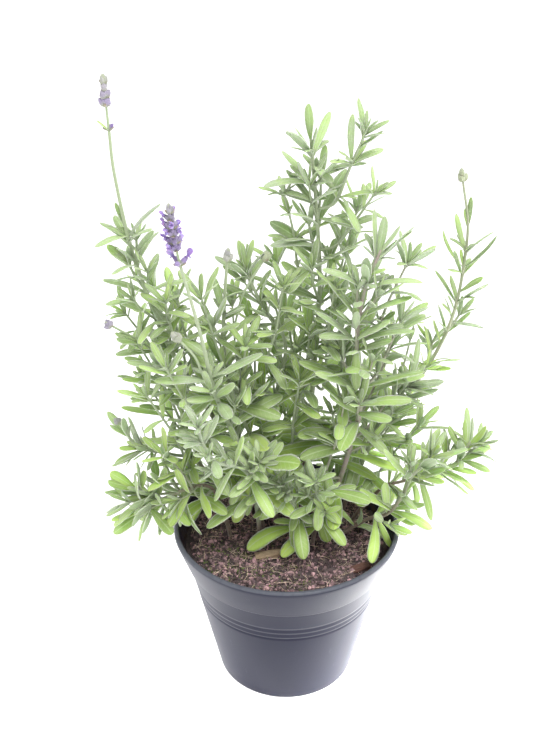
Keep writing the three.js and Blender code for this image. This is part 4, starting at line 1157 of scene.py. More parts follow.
def flower_head(name, rank):
    """A head on its seat: its solid's beads, whorl by whorl, with a smaller bead between each two."""
    head = {**HEAD, **HEADS[name]}
    draw, more = draws_from(HEAD_SEED + rank), draws_from(ADDED_SEED + HEAD_SEED + rank)
    long, radius = head["calyx"]
    shorter = 0.86 if head["petals"] else 0.95
    top = head["rings"][-1][0] + 0.5
    axis = head_line(seats[name], top, head["straighten"])
    skin = Skin()
    add_tube(skin, axis, lambda s: mix(HEAD_CORE, s / axis.length), lambda s: (1, 0.5, 0),
             (0.5, 0.4, 0), 3, (0, axis.length), sides=8, step=1.6)
    for whorl, (s, count, lean) in enumerate(head["rings"]):
        here = axis.at(s)
        share = s / top
        cast = (0.2, 0.4, mix(head["lilac"], share ** 2))
        slim = 1 - 0.2 * share ** 2
        for k in range(count):
            azimuth = 360 * (k + 0.5 * (whorl % 2)) / count + 16 * draw()
            bead = bead_at(here, azimuth, lean + 8 * draw(), long * shorter * slim, more())
            out = draw() < head["petals"] and share < 0.93
            if name == "bloom_tall" and whorl == 0:
                add_lone_bud(skin, bead, radius)
                continue
            add_calyx(skin, bead, radius * slim * PLUMP, cast, out)
            if out:
                add_flower(skin, bead, more, (1.5 if whorl == 0 else 1.2) * slim)
            if whorl == 0 and head["petals"]:
                continue
            size = long * between(more, 0.7, 0.84) * slim
            beside = azimuth + 180 / count + between(more, -10, 10)
            between_two = bead_at(here.moved(0.9), beside, lean * 0.62, size, more())
            add_calyx(skin, between_two, radius * 0.9 * slim * PLUMP, cast, False)
        for side in (0, 180):
            add_bract(skin, here.moved(-0.5), 90 * whorl + side + between(more, -9, 9), lean + 12,
                      long * 0.62, long * 0.42, more)
    cap = axis.at(top)
    crown = (0.4, 0.4, head["lilac"][1] * 0.3)
    add_calyx(skin, bead_at(cap, 0, 1, long * 0.86, more()), radius * 1.15, crown, False)
    for k in range(4):
        bud = bead_at(cap, 90 * k + 30, 15, long * between(more, 0.5, 0.66), more())
        add_calyx(skin, bud, radius * 0.7, crown, False)
    finishes = ("calyx", "petal", "bract", "stem", "leaf")
    return skin.write(name + "_head", [materials[finish] for finish in finishes])


def add_lone_bud(skin, bead, radius):
    """Under the tall head there is only a small bud on one side and a green leaf on the other."""
    if bead.out.x > 0:
        small = Leaf(bead.root, bead.out, bead.up, bead.long * 0.7, 1, 1, tone=0.2)
        add_calyx(skin, small, radius * 0.8, (0.1, 0.4, 1), False)
        return
    leaf = Leaf(bead.root, bead.out, bead.up, bead.long * 1.35, 3, 12, youth=0.3, tone=0.6, felt=0.1,
                warm=0.9)
    add_blade(skin, leaf, 4)


# ---- shader nodes ----
def put(tree, kind, inputs=None, **settings):
    """Adds a node. Each input is a value, another node's socket, or a node, for its first output."""
    node = tree.nodes.new(kind)
    for key, value in settings.items():
        setattr(node, key, value)
    for key, value in (inputs or {}).items():
        socket = node.inputs[key]
        if isinstance(value, bpy.types.Node):
            value = value.outputs[0]
        if isinstance(value, bpy.types.NodeSocket):
            tree.links.new(value, socket)
        else:
            socket.default_value = value
    return node


def colour(value):
    """A named colour or a plain triple as a node wants it; a socket stays as it is."""
    if isinstance(value, bpy.types.NodeSocket):
        return value
    return (*(COLOURS[value] if isinstance(value, str) else value), 1)


def maths(tree, operation, a, b=0.0, clamp=False):
    return put(tree, "ShaderNodeMath", {0: a, 1: b}, operation=operation, use_clamp=clamp).outputs[0]


def times(tree, a, b):
    return maths(tree, "MULTIPLY", a, b)


def plus(tree, a, b):
    return maths(tree, "ADD", a, b)


def minus(tree, a, b):
    return maths(tree, "SUBTRACT", a, b)


def blend(tree, factor, a, b):
    """Mixes two colours."""
    values = {0: factor, 6: colour(a), 7: colour(b)}
    return put(tree, "ShaderNodeMix", values, data_type="RGBA").outputs[2]


def scaled(tree, base, amount):
    """A colour made darker or brighter."""
    return put(tree, "ShaderNodeVectorMath", {0: base, "Scale": amount}, operation="SCALE").outputs[0]


def step_up(tree, value, low, high, bottom=0.0, top=1.0):
    """Rises smoothly from bottom to top as value goes from low to high."""
    return put(tree, "ShaderNodeMapRange", {0: value, 1: low, 2: high, 3: bottom, 4: top},
               interpolation_type="SMOOTHSTEP").outputs[0]


def cloud(tree, scale, detail=3.0, where=None, roughness=0.55):
    inputs = {"Scale": scale, "Detail": detail, "Roughness": roughness}
    inputs["Vector"] = where or put(tree, "ShaderNodeTexCoord").outputs["Object"]
    return put(tree, "ShaderNodeTexNoise", inputs).outputs["Fac"]


def own(tree, name):
    """One of the piece's own attributes."""
    return put(tree, "ShaderNodeAttribute", attribute_name=name).outputs


def parts_of(tree, name):
    """The three numbers of one of the piece's own attributes."""
    return put(tree, "ShaderNodeSeparateXYZ", {0: own(tree, name)["Vector"]}).outputs


def node_group(name, inputs, outputs, build):
    """A shader node group with named sockets. build(tree, inputs) gives the value of each output."""
    tree = bpy.data.node_groups.new(name, "ShaderNodeTree")
    for label, default in inputs.items():
        coloured = isinstance(default, tuple)
        kind = "NodeSocketColor" if coloured else "NodeSocketFloat"
        socket = tree.interface.new_socket(label, in_out="INPUT", socket_type=kind)
        socket.default_value = colour(default) if coloured else default
    for label in outputs:
        kind = "NodeSocketColor" if label == "Colour" else "NodeSocketFloat"
        tree.interface.new_socket(label, in_out="OUTPUT", socket_type=kind)
    given = tree.nodes.new("NodeGroupInput")
    results = build(tree, given.outputs)
    end = tree.nodes.new("NodeGroupOutput")
    for label, socket in results.items():
        tree.links.new(socket, end.inputs[label])
    return tree


def place_group(tree, group, inputs):
    inputs = {label: colour(value) if isinstance(value, (tuple, str)) else value
              for label, value in inputs.items()}
    return put(tree, "ShaderNodeGroup", inputs, node_tree=group).outputs


def build_felt(tree, given):
    """Short pale hairs: a fine speckle that lightens the colour and roughens the surface."""
    fine = cloud(tree, given["Scale"], 4, roughness=0.7)
    broad = cloud(tree, 220, 2)
    speck = step_up(tree, fine, 0.42, 0.66)
    veil = maths(tree, "MULTIPLY_ADD", speck, 0.55)
    tree.links.new(times(tree, broad, 0.7), veil.node.inputs[2])
    amount = maths(tree, "MULTIPLY", veil, given["Amount"], clamp=True)
    return {"Colour": blend(tree, amount, given["Colour"], given["Hair"]), "Height": fine}


def build_mottle(tree, given):
    """Two colours in soft patches, with a fine grain in both."""
    patch = step_up(tree, cloud(tree, given["Scale"], 4), 0.36, 0.64)
    grain = cloud(tree, times(tree, given["Scale"], 9.0), 3, roughness=0.7)
    mixed = blend(tree, patch, given["Colour"], given["Second"])
    shade = step_up(tree, grain, 0.25, 0.75, 0.62, 1.3)
    return {"Colour": scaled(tree, mixed, shade), "Height": grain, "Mask": patch}


felt_group = node_group(
    "felt_hairs",
    {"Colour": (0.3, 0.4, 0.2), "Hair": (0.75, 0.8, 0.7), "Amount": 0.4, "Scale": 2600.0},
    ("Colour", "Height"), build_felt)
mottle_group = node_group(
    "mottled_ground",
    {"Colour": (0.1, 0.07, 0.05), "Second": (0.2, 0.15, 0.1), "Scale": 120.0},
    ("Colour", "Height", "Mask"), build_mottle)


def hairy(tree, base, hair, amount, scale=2600.0):
    """The colour and height of a surface with short hairs."""
    return place_group(tree, felt_group, {"Colour": base, "Hair": hair, "Amount": amount, "Scale": scale})


def new_material(name, roughness, **sockets):
    """A material with its Principled shader, ready for colour and bump."""
    material = bpy.data.materials.new(name)
    material.use_nodes = True
    tree = material.node_tree
    shader = tree.nodes["Principled BSDF"]
    shader.inputs["Roughness"].default_value = roughness
    for label, value in sockets.items():
        shader.inputs[label.replace("_", " ")].default_value = value
    return material, tree, shader


def finish_with(tree, shader, base, height=None, depth=0.0001, strength=0.4):
    tree.links.new(base, shader.inputs["Base Color"])
    if height is not None:
        bump = put(tree, "ShaderNodeBump", {"Strength": strength, "Distance": depth, "Height": height})
        tree.links.new(bump.outputs[0], shader.inputs["Normal"])


# ---- materials ----
COLOURS = dict(
    old_green=(0.34, 0.54, 0.055), grey_green=(0.235, 0.31, 0.15), yellow_green=(0.4, 0.5, 0.1),
    pale_felt=(0.62, 0.66, 0.58), underside=(0.33, 0.41, 0.25), midrib=(0.43, 0.52, 0.31),
    stem_foot=(0.2, 0.28, 0.1), stem_tip=(0.3, 0.38, 0.2), stem_blush=(0.4, 0.23, 0.28),
    stem_hair=(0.43, 0.49, 0.38), bark_crack=(0.11, 0.07, 0.055), bark_ridge=(0.27, 0.2, 0.15),
    calyx_green=(0.27, 0.33, 0.15), calyx_pale_green=(0.38, 0.42, 0.24), calyx_violet=(0.14, 0.08, 0.27),
    # the last colour on the next line is painted shade for the inside of a calyx's mouth
    calyx_pale_violet=(0.28, 0.2, 0.44), calyx_rib=(0.34, 0.31, 0.38), calyx_mouth_shade=(0.08, 0.06, 0.1),
    calyx_hair=(0.42, 0.4, 0.44), petal=(0.25, 0.16, 0.46), pale_petal=(0.46, 0.36, 0.7),
    throat=(0.13, 0.08, 0.28), petal_rim=(0.52, 0.43, 0.74), bract_foot=(0.28, 0.31, 0.14),
    bract_tip=(0.26, 0.18, 0.1), bract_blush=(0.3, 0.24, 0.28), bract_hair=(0.75, 0.72, 0.62),
    plastic=(0.0115, 0.0125, 0.03), pale_plastic=(0.017, 0.018, 0.038), scuff=(0.12, 0.12, 0.15),
    # the second colour on the next line is the painted highlight along the top of the rim
    peat_dust=(0.07, 0.047, 0.035), rim_highlight=(0.085, 0.09, 0.11),
    peat=(0.045, 0.032, 0.034), dry_peat=(0.11, 0.082, 0.08), crumb=(0.08, 0.055, 0.058),
    dry_crumb=(0.34, 0.208, 0.218), fibre=(0.7, 0.57, 0.43), dark_fibre=(0.4, 0.3, 0.21),
    moss=(0.06, 0.085, 0.025), pale_moss=(0.13, 0.16, 0.055), split_wood=(0.6, 0.47, 0.31),
    wood_grain=(0.32, 0.22, 0.13), wood_skin=(0.17, 0.1, 0.06), red_bark=(0.2, 0.09, 0.065),
    bark_grain=(0.09, 0.045, 0.035), bark_skin=(0.05, 0.03, 0.025),
)


def leaf_material():
    """Grey-green blades with a pale midrib and margins, side veins and a felt of short hairs."""
    material, tree, shader = new_material("lavender_leaf", 0.5, Sheen_Weight=0.44, Sheen_Roughness=0.35,
                                          Subsurface_Weight=0.25, Subsurface_Scale=0.003)
    shader.inputs["Subsurface Radius"].default_value = (0.5, 0.78, 0.36)
    across, along, side = parts_of(tree, "place")
    youth, tone, _ = parts_of(tree, "growth")
    felt, warm, _ = parts_of(tree, "cast")
    away = maths(tree, "ABSOLUTE", across)
    base = blend(tree, step_up(tree, youth, 0.05, 0.9), "old_green", "grey_green")
    yellowing = times(tree, warm, step_up(tree, tone, 0.1, 0.9, 0.35, 1.0))
    yellowing = times(tree, yellowing, step_up(tree, youth, 0.2, 1, 0.85, 0.25))
    base = blend(tree, yellowing, base, "yellow_green")
    base = blend(tree, step_up(tree, cloud(tree, 90, 2), 0.3, 0.7, 0, 0.45), base, "old_green")
    base = scaled(tree, base, step_up(tree, tone, 0, 1, 0.64, 1.1))
    base = blend(tree, step_up(tree, side, 0.2, -0.6, 0, 0.75), base, "underside")
    veins = maths(tree, "SINE", minus(tree, times(tree, along, 62.0), times(tree, away, 9.0)))
    vein = step_up(tree, veins, 0.55, 1, 0, 0.12)
    base = blend(tree, vein, base, "midrib")
    rib = step_up(tree, away, 0.13, 0.02, 0, 0.55)
    base = blend(tree, rib, base, "midrib")
    worn = step_up(tree, cloud(tree, 700, 2), 0.3, 0.7, 0.25, 1)
    margin = times(tree, step_up(tree, away, 0.78, 0.98, 0, 1), worn)
    base = blend(tree, margin, base, "pale_felt")
    felted = step_up(tree, youth, 0, 0.8, 0.3, 0.64)
    hairs = hairy(tree, base, "pale_felt", times(tree, felt, felted))
    height = minus(tree, times(tree, hairs["Height"], 0.5), rib)
    height = minus(tree, height, vein)
    finish_with(tree, shader, hairs["Colour"], height, 0.0002, 0.5)
    return material


def stem_material():
    """Green stems with a pale felt, purple where they blush, brown and fissured where they are woody."""
    material, tree, shader = new_material("lavender_stem", 0.68, Sheen_Weight=0.3, Sheen_Roughness=0.5)
    around, along, _ = parts_of(tree, "place")
    youth, _, wood = parts_of(tree, "growth")
    felt, _, blush = parts_of(tree, "cast")
    base = blend(tree, step_up(tree, youth, 0.1, 1), "stem_foot", "stem_tip")
    patches = cloud(tree, 160, 3)
    redness = times(tree, blush, step_up(tree, patches, 0.25, 0.7, 0.35, 1))
    base = blend(tree, redness, base, "stem_blush")
    place = put(tree, "ShaderNodeCombineXYZ", {0: times(tree, around, 7), 1: along})
    grain = cloud(tree, 3.0, 4, where=place.outputs[0], roughness=0.7)
    bark = blend(tree, step_up(tree, grain, 0.35, 0.65), "bark_crack", "bark_ridge")
    base = blend(tree, wood, base, bark)
    amount = times(tree, felt, minus(tree, 1, times(tree, wood, 0.8)))
    hairs = hairy(tree, base, "stem_hair", amount, 3200.0)
    height = plus(tree, hairs["Height"], times(tree, grain, wood))
    finish_with(tree, shader, hairs["Colour"], height, 0.0003, 0.55)
    return material


def calyx_material():
    """Lilac-grey ribbed bells, paler and woolly between the ribs, with painted shade inside the mouth."""
    material, tree, shader = new_material("lavender_calyx", 0.75, Sheen_Weight=0.4, Sheen_Roughness=0.5)
    rib, along, _ = parts_of(tree, "place")
    _, tone, _ = parts_of(tree, "growth")
    felt, _, lilac = parts_of(tree, "cast")
    green = blend(tree, tone, "calyx_green", "calyx_pale_green")
    violet = blend(tree, tone, "calyx_violet", "calyx_pale_violet")
    reach = times(tree, lilac, step_up(tree, along, 0.15, 0.7, 0.2, 1))
    base = blend(tree, reach, green, violet)
    base = blend(tree, step_up(tree, rib, -0.2, 0.9, 0, 0.25), base, "calyx_rib")
    # Painted shade: the inside of the mouth is coloured dark.
    base = blend(tree, step_up(tree, along, 1.02, 1.15), base, "calyx_mouth_shade")
    hairs = hairy(tree, base, "calyx_hair", felt, 4200.0)
    height = plus(tree, hairs["Height"], rib)
    finish_with(tree, shader, hairs["Colour"], height, 0.0002, 0.5)
    return material


def petal_material():
    """Violet petals, deeper at the throat and paler at the rim."""
    material, tree, shader = new_material("lavender_petal", 0.55, Sheen_Weight=0.2, Subsurface_Weight=0.15,
                                          Subsurface_Scale=0.002)
    across, along, _ = parts_of(tree, "place")
    _, tone, _ = parts_of(tree, "growth")
    base = blend(tree, tone, "petal", "pale_petal")
    base = blend(tree, step_up(tree, along, 0.5, 0.0, 0, 0.6), base, "throat")
    rim = step_up(tree, maths(tree, "ABSOLUTE", across), 0.7, 1, 0, 0.35)
    base = blend(tree, rim, base, "petal_rim")
    mottle = place_group(tree, mottle_group, {"Colour": base, "Second": base, "Scale": 300.0})
    finish_with(tree, shader, mottle["Colour"], mottle["Height"], 0.00015, 0.3)
    return material


def bract_material():
    """Papery scales, greenish at the foot and brown at the tip."""
    material, tree, shader = new_material("lavender_bract", 0.8, Sheen_Weight=0.2)
    _, along, _ = parts_of(tree, "place")
    _, tone, _ = parts_of(tree, "growth")
    felt, _, _ = parts_of(tree, "cast")
    base = blend(tree, step_up(tree, along, 0.2, 1), "bract_foot", "bract_tip")
    base = blend(tree, times(tree, tone, 0.4), base, "bract_blush")
    hairs = hairy(tree, base, "bract_hair", felt, 3800.0)
    finish_with(tree, shader, hairs["Colour"], hairs["Height"], 0.00015, 0.4)
    return material


def pot_material():
    """Satin grey plastic with a fine moulded grain, faint scuff streaks, peat dust inside up to the rim, and
    a painted highlight along the top of the rim.
    """
    material, tree, shader = new_material("pot_plastic", 0.4, Specular_IOR_Level=0.2)
    place = put(tree, "ShaderNodeTexCoord").outputs["Object"]
    height = put(tree, "ShaderNodeSeparateXYZ", {0: place}).outputs["Z"]
    shade = cloud(tree, 22, 3)
    base = blend(tree, shade, "plastic", "pale_plastic")
    streaks = put(tree, "ShaderNodeMapping", {"Vector": place, "Scale": (1, 1, 0.08)}).outputs[0]
    scuff = step_up(tree, cloud(tree, 420, 4, where=streaks, roughness=0.75), 0.62, 0.8, 0, 0.25)
    base = blend(tree, scuff, base, "scuff")
    inside, _, _ = parts_of(tree, "place")
    dirt = times(tree, inside, step_up(tree, cloud(tree, 260, 4, roughness=0.7), 0.4, 0.62))
    top = POT["height"]
    dirt = times(tree, dirt, step_up(tree, height, (top - 1) * MM, (top - 10) * MM, 0.12, 0.9))
    base = blend(tree, dirt, base, "peat_dust")
    # Painted highlight: the top of the rim is painted lighter, in patches.
    lip_patches = step_up(tree, cloud(tree, 300, 3), 0.2, 0.6, 0.7, 1)
    lip_highlight = times(tree, step_up(tree, height, (top - 1.7) * MM, (top - 0.8) * MM), lip_patches)
    base = blend(tree, lip_highlight, base, "rim_highlight")
    rough = plus(tree, times(tree, shade, 0.14), 0.33)
    rough = plus(tree, rough, times(tree, dirt, 0.45))
    tree.links.new(rough, shader.inputs["Roughness"])
    grain = cloud(tree, 1500, 2)
    finish_with(tree, shader, base, plus(tree, grain, dirt), 0.00012, 0.22)
    return material


def ground_material(name, first, second, scale, roughness=0.95, depth=0.0006, toned=False):
    """Peat, fibre, moss or wood: two mottled colours over a rough grain, shaded by each piece's own tone."""
    material, tree, shader = new_material(name, roughness)
    mottle = place_group(tree, mottle_group, {"Colour": first, "Second": second, "Scale": scale})
    base = mottle["Colour"]
    if toned:
        base = scaled(tree, base, step_up(tree, own(tree, "tone")["Fac"], 0, 1, 0.35, 1.9))
    finish_with(tree, shader, base, mottle["Height"], depth, 0.6)
    return material


def wood_material(name, pale, dark, bark):
    """Split wood: long fibres along the chip, with darker streaks and, on bark, dark fissures."""
    material, tree, shader = new_material(name, 0.85)
    fibre = cloud(tree, 2.2, 5, where=own(tree, "fibre")["Vector"], roughness=0.75)
    base = blend(tree, step_up(tree, fibre, 0.3, 0.7), dark, pale)
    mottle = place_group(tree, mottle_group, {"Colour": base, "Second": bark, "Scale": 70.0})
    base = blend(tree, 0.35, base, mottle["Colour"])
    finish_with(tree, shader, base, plus(tree, fibre, mottle["Height"]), 0.0005, 0.7)
    return material


materials = {
    "leaf": leaf_material(),
    "stem": stem_material(),
    "calyx": calyx_material(),
    "petal": petal_material(),
    "bract": bract_material(),
    "pot": pot_material(),
    "peat": ground_material("peat", "peat", "dry_peat", 160.0),
    "crumb": ground_material("peat_crumb", "crumb", "dry_crumb", 240.0, toned=True),
    "fibre": ground_material("peat_fibre", "fibre", "dark_fibre", 200.0, depth=0.0002, toned=True),
    "moss": ground_material("moss", "moss", "pale_moss", 260.0, depth=0.0002, toned=True),
    "pale_wood": wood_material("pale_wood", "split_wood", "wood_grain", "wood_skin"),
    "bark": wood_material("red_bark", "red_bark", "bark_grain", "bark_skin"),
}


# ---- pot ----
def body_radius(z):
    return mix((POT["foot_radius"], POT["collar_foot_radius"] - POT["collar_step"]), z / POT["collar_foot"])


def inner_radius(z):
    """The radius inside the pot: straight from the floor to the collar and from there to the rim."""
    collar = body_radius(POT["collar_foot"]) - POT["wall"]
    if z < POT["collar_foot"]:
        share = (z - POT["floor"]) / (POT["collar_foot"] - POT["floor"])
        return mix((POT["foot_radius"] - POT["wall"], collar), share)
    share = (z - POT["collar_foot"]) / (POT["height"] - 1 - POT["collar_foot"])
    return mix((collar, POT["rim_radius"] - POT["rim_width"]), share)


def rounded(corner, before, beyond, radius, count=4):
    """Points round a corner of a profile, from one edge to the next."""
    corner, before, beyond = (np.array(p, float) for p in (corner, before, beyond))
    into, onto = before - corner, beyond - corner
    reach = min(radius, np.linalg.norm(into) * 0.45, np.linalg.norm(onto) * 0.45)
    first = corner + into / np.linalg.norm(into) * reach
    last = corner + onto / np.linalg.norm(onto) * reach
    shares = np.linspace(0, 1, count)
    return [tuple(first * (1 - x) ** 2 + corner * 2 * x * (1 - x) + last * x * x) for x in shares]


# The rolled rim, from the collar round to the inside: how far in from its outside, and how far down.
RIM_ROLL = [(0.35, 3), (0, 1.6), (0.2, 0.6), (1.1, 0), (POT["rim_width"], 0.1)]
FOOT_RING = [(4, 0.8), (3, 0)]  # the ring that it stands on: how far in from the foot's edge, and how high
CORNER = 0.7  # how far its corners are rounded


def pot_profile():
    """The pot's section from the middle of its foot up the outside, over the rim and down the inside:
    (radius, height, inside)."""
    height, rim, foot = POT["height"], POT["rim_radius"], POT["foot_radius"]
    collar, collar_radius = POT["collar_foot"], POT["collar_foot_radius"]
    ridges = []
    for z in RIDGES["heights"]:
        under = z - RIDGES["rise"]
        ridges += [(body_radius(under) - RIDGES["depth"], under), (body_radius(z), z)]
    outside = [
        *((foot - inward, up) for inward, up in FOOT_RING), (foot, 0), (body_radius(4), 4),
        (body_radius(RIDGES["heights"][0] - 2 * RIDGES["rise"]), RIDGES["heights"][0] - 2 * RIDGES["rise"]),
        *ridges, (body_radius(collar), collar), (collar_radius, collar + 0.8),
        *((rim - inward, height - down) for inward, down in RIM_ROLL),
    ]
    inside = [(inner_radius(z), z) for z in (height - 1.6, collar, POT["floor"])]
    corners = [(0, 0.8), *outside, *inside, (0, POT["floor"])]
    profile = [(0, 0.8, 0)]
    for k in range(1, len(corners) - 1):
        within = 1 if k > len(outside) else 0
        for r, z in rounded(corners[k], corners[k - 1], corners[k + 1], CORNER):
            profile.append((r, z, within))
    return [*profile, (0, POT["floor"], 1)]


POT_SEGMENTS = 144


def pot_piece():
    """The pot turned round its axis, with its drain holes cut."""
    profile = pot_profile()
    work = bmesh.new()
    columns = []
    inside = work.verts.layers.float_vector.new("place")
    for j in range(POT_SEGMENTS):
        angle = 2 * pi * j / POT_SEGMENTS
        column = []
        for k, (r, z, within) in enumerate(profile):
            on_axis = r == 0
            if on_axis and j:
                column.append(columns[0][k])
                continue
            vertex = work.verts.new((r * cos(angle) * MM, r * sin(angle) * MM, z * MM))
            vertex[inside] = (within, 0, 0)
            column.append(vertex)
        columns.append(column)
    for j, column in enumerate(columns):
        beyond = columns[(j + 1) % POT_SEGMENTS]
        for k in range(len(profile) - 1):
            corners = [column[k], beyond[k], beyond[k + 1], column[k + 1]]
            work.faces.new(list(dict.fromkeys(corners)))
    bmesh.ops.recalc_face_normals(work, faces=work.faces)
    shell = link("pot_uncut", mesh_of(work, "pot_shell"))
    drill = drain_drill()
    cut = shell.modifiers.new("drain", "BOOLEAN")
    cut.operation, cut.object, cut.solver = "DIFFERENCE", drill, "EXACT"
    piece = link("pot_shell", plain_mesh(shell, "pot_shell"))
    for used in (shell, drill):
        bpy.data.objects.remove(used)
    piece.data.materials.clear()
    piece.data.materials.append(materials["pot"])
    smooth_within(piece, 32)
    return piece


def drain_drill():
    """Six upright cylinders where the drain holes go."""
    work = bmesh.new()
    for k in range(DRAIN["count"]):
        angle = 2 * pi * k / DRAIN["count"]
        radius = DRAIN["radius"] * MM
        made = bmesh.ops.create_cone(work, segments=24, radius1=radius, radius2=radius, depth=8 * MM,
                                     cap_ends=True)
        shift = Vector((cos(angle), sin(angle), 0)) * DRAIN["ring"] * MM
        bmesh.ops.translate(work, verts=made["verts"], vec=shift)
    return link("drain_drill", mesh_of(work, "drain_drill"))


def plain_mesh(piece, name):
    """The piece's mesh with its modifiers applied."""
    graph = bpy.context.evaluated_depsgraph_get()
    mesh = bpy.data.meshes.new_from_object(piece.evaluated_get(graph), depsgraph=graph)
    mesh.name = name
    return mesh


def smooth_within(piece, degrees):
    """Shades the piece smooth, but for edges sharper than that."""
    piece.data.polygons.foreach_set("use_smooth", [True] * len(piece.data.polygons))
    piece.data.set_sharp_from_angle(angle=degrees * RAD)


# ---- soil ----
SOIL_RINGS = 62
SOIL_SEGMENTS = 150
SOIL_CLEARANCE = 0.6  # between the soil and the pot
DIP = 7  # how far from the wall the surface begins to dip
CRUMB_ROOM = 3  # how far crumbs and short fibres keep from the wall
FIBRE_ROOM = 7.5  # and how far long fibres keep from it
MOSS_PATCHES = [(-22, -24, 15), (-38, -12, 11), (-14, -38, 12), (-2, -30, 8), (8, -48, 9), (-44, -26, 8)]


def soil_height(x, y):
    """The soil's surface: the low lumps of its solid, broken up by clods."""
    lumps = sin(x * 0.21 + 1.3) * cos(y * 0.17 - 0.4) + 0.6 * sin(x * 0.43 - y * 0.37)
    clods = noise.fractal(Vector((x, y, 0)) * 0.19, 0.9, 2.1, 4) * 2.2
    crumbs = noise.fractal(Vector((x, y, 7)) * 0.75, 0.8, 2.2, 3) * 0.9
    return SOIL["top"] + SOIL["lump"] * lumps + clods + crumbs


def soil_radius(z):
    return inner_radius(z) - SOIL_CLEARANCE


def soil_edge(radius, x, y):
    """The surface dips to the wall."""
    near = (radius - soil_radius(SOIL["top"]) + DIP) / DIP
    return soil_height(x, y) - SOIL["edge_drop"] * float(smooth(near))


def soil_bed():
    """The peat in the pot: a fine surface, an upright edge against the wall and a flat foot."""
    wall = soil_radius(SOIL["top"])
    work = bmesh.new()
    patch, spread, open_ground = (work.verts.layers.float.new(label) for label in ("moss", "spread", "open"))
    angles = [2 * pi * j / SOIL_SEGMENTS for j in range(SOIL_SEGMENTS)]
    rings = []
    for k in range(1, SOIL_RINGS + 1):
        radius = wall * k / SOIL_RINGS
        ring = []
        for angle in angles:
            x, y = radius * cos(angle), radius * sin(angle)
            vertex = work.verts.new((x * MM, y * MM, soil_edge(radius, x, y) * MM))
            near = max(exp(-(((x - px) ** 2 + (y - py) ** 2) / wide ** 2))
                       for px, py, wide in MOSS_PATCHES)
            thick = max(0, 0.35 + noise.noise(Vector((x, y, 3)) * 0.16) * 1.6)
            clear = wall - radius
            vertex[patch] = near * thick * (clear > CRUMB_ROOM)
            vertex[spread] = float(clear > CRUMB_ROOM)
            vertex[open_ground] = float(clear > FIBRE_ROOM)
            ring.append(vertex)
        rings.append(ring)
    middle = work.verts.new((0, 0, soil_height(0, 0) * MM))
    for z in (POT["collar_foot"], POT["floor"] + GAP):
        radius = soil_radius(z)
        rings.append([work.verts.new((radius * cos(a) * MM, radius * sin(a) * MM, z * MM))
                      for a in angles])
    for j in range(SOIL_SEGMENTS):
        beyond = (j + 1) % SOIL_SEGMENTS
        work.faces.new((middle, rings[0][j], rings[0][beyond]))
        for below, above in zip(rings, rings[1:]):
            work.faces.new((below[j], above[j], above[beyond], below[beyond]))
    work.faces.new(list(reversed(rings[-1])))
    mesh = mesh_of(work, "soil_bed")
    mesh.materials.append(materials["peat"])
    piece = link("soil_bed", mesh)
    smooth_within(piece, 60)
    return piece


# ---- what lies on the soil ----
def scatter_tree():
    """Strews copies of a shape over a surface. Where says which attribute of the surface gives the share."""
    tree = bpy.data.node_groups.new("strew_on_soil", "GeometryNodeTree")
    sockets = {"Geometry": "Geometry", "Shape": "Object", "Where": "String", "Per Area": "Float",
               "Seed": "Int", "Smallest": "Float", "Largest": "Float", "Tilt": "Float", "Lift": "Float",
               "Finish": "Material"}
    for label, kind in sockets.items():
        tree.interface.new_socket(label, in_out="INPUT", socket_type="NodeSocket" + kind)
    tree.interface.new_socket("Geometry", in_out="OUTPUT", socket_type="NodeSocketGeometry")
    given = tree.nodes.new("NodeGroupInput").outputs
    share = put(tree, "GeometryNodeInputNamedAttribute", {"Name": given["Where"]})
    per_area = times(tree, share.outputs[0], given["Per Area"])
    points = put(tree, "GeometryNodeDistributePointsOnFaces",
                 {"Mesh": given["Geometry"], "Density": per_area, "Seed": given["Seed"]})
    lift = put(tree, "ShaderNodeCombineXYZ", {"Z": given["Lift"]})
    lifted = put(tree, "GeometryNodeSetPosition", {"Geometry": points, "Offset": lift})
    back = times(tree, given["Tilt"], -1.0)
    lowest = put(tree, "ShaderNodeCombineXYZ", {"X": back, "Y": back, "Z": 0.0})
    highest = put(tree, "ShaderNodeCombineXYZ",
                  {"X": given["Tilt"], "Y": given["Tilt"], "Z": 2 * pi})
    turn = put(tree, "FunctionNodeRandomValue", {"Min": lowest, "Max": highest, "Seed": given["Seed"]},
               data_type="FLOAT_VECTOR")
    turned = put(tree, "FunctionNodeEulerToRotation", {0: turn})
    size = put(tree, "FunctionNodeRandomValue",
               {2: given["Smallest"], 3: given["Largest"], "Seed": given["Seed"]})
    shape = put(tree, "GeometryNodeObjectInfo", {"Object": given["Shape"]})
    copies = put(tree, "GeometryNodeInstanceOnPoints",
                 {"Points": lifted, "Instance": shape.outputs["Geometry"], "Rotation": turned,
                  "Scale": size.outputs[1]})
    tone = put(tree, "FunctionNodeRandomValue", {2: 0.0, 3: 1.0, "Seed": 5})
    kept = put(tree, "GeometryNodeStoreNamedAttribute",
               {"Geometry": copies, "Name": "tone", "Value": tone.outputs[1]}, domain="INSTANCE")
    real = put(tree, "GeometryNodeRealizeInstances", {0: kept})
    done = put(tree, "GeometryNodeSetMaterial", {"Geometry": real, "Material": given["Finish"]})
    end = tree.nodes.new("NodeGroupOutput")
    tree.links.new(done.outputs[0], end.inputs[0])
    return tree


def crumb_shape(seed, flat):
    """A lump of peat."""
    work = bmesh.new()
    bmesh.ops.create_icosphere(work, subdivisions=1, radius=MM)
    draw = draws_from(seed)
    for vertex in work.verts:
        vertex.co *= between(draw, 0.65, 1.25)
        vertex.co.z *= flat
        vertex.co.x *= 1.25
    return link("crumb", mesh_of(work, "crumb"))


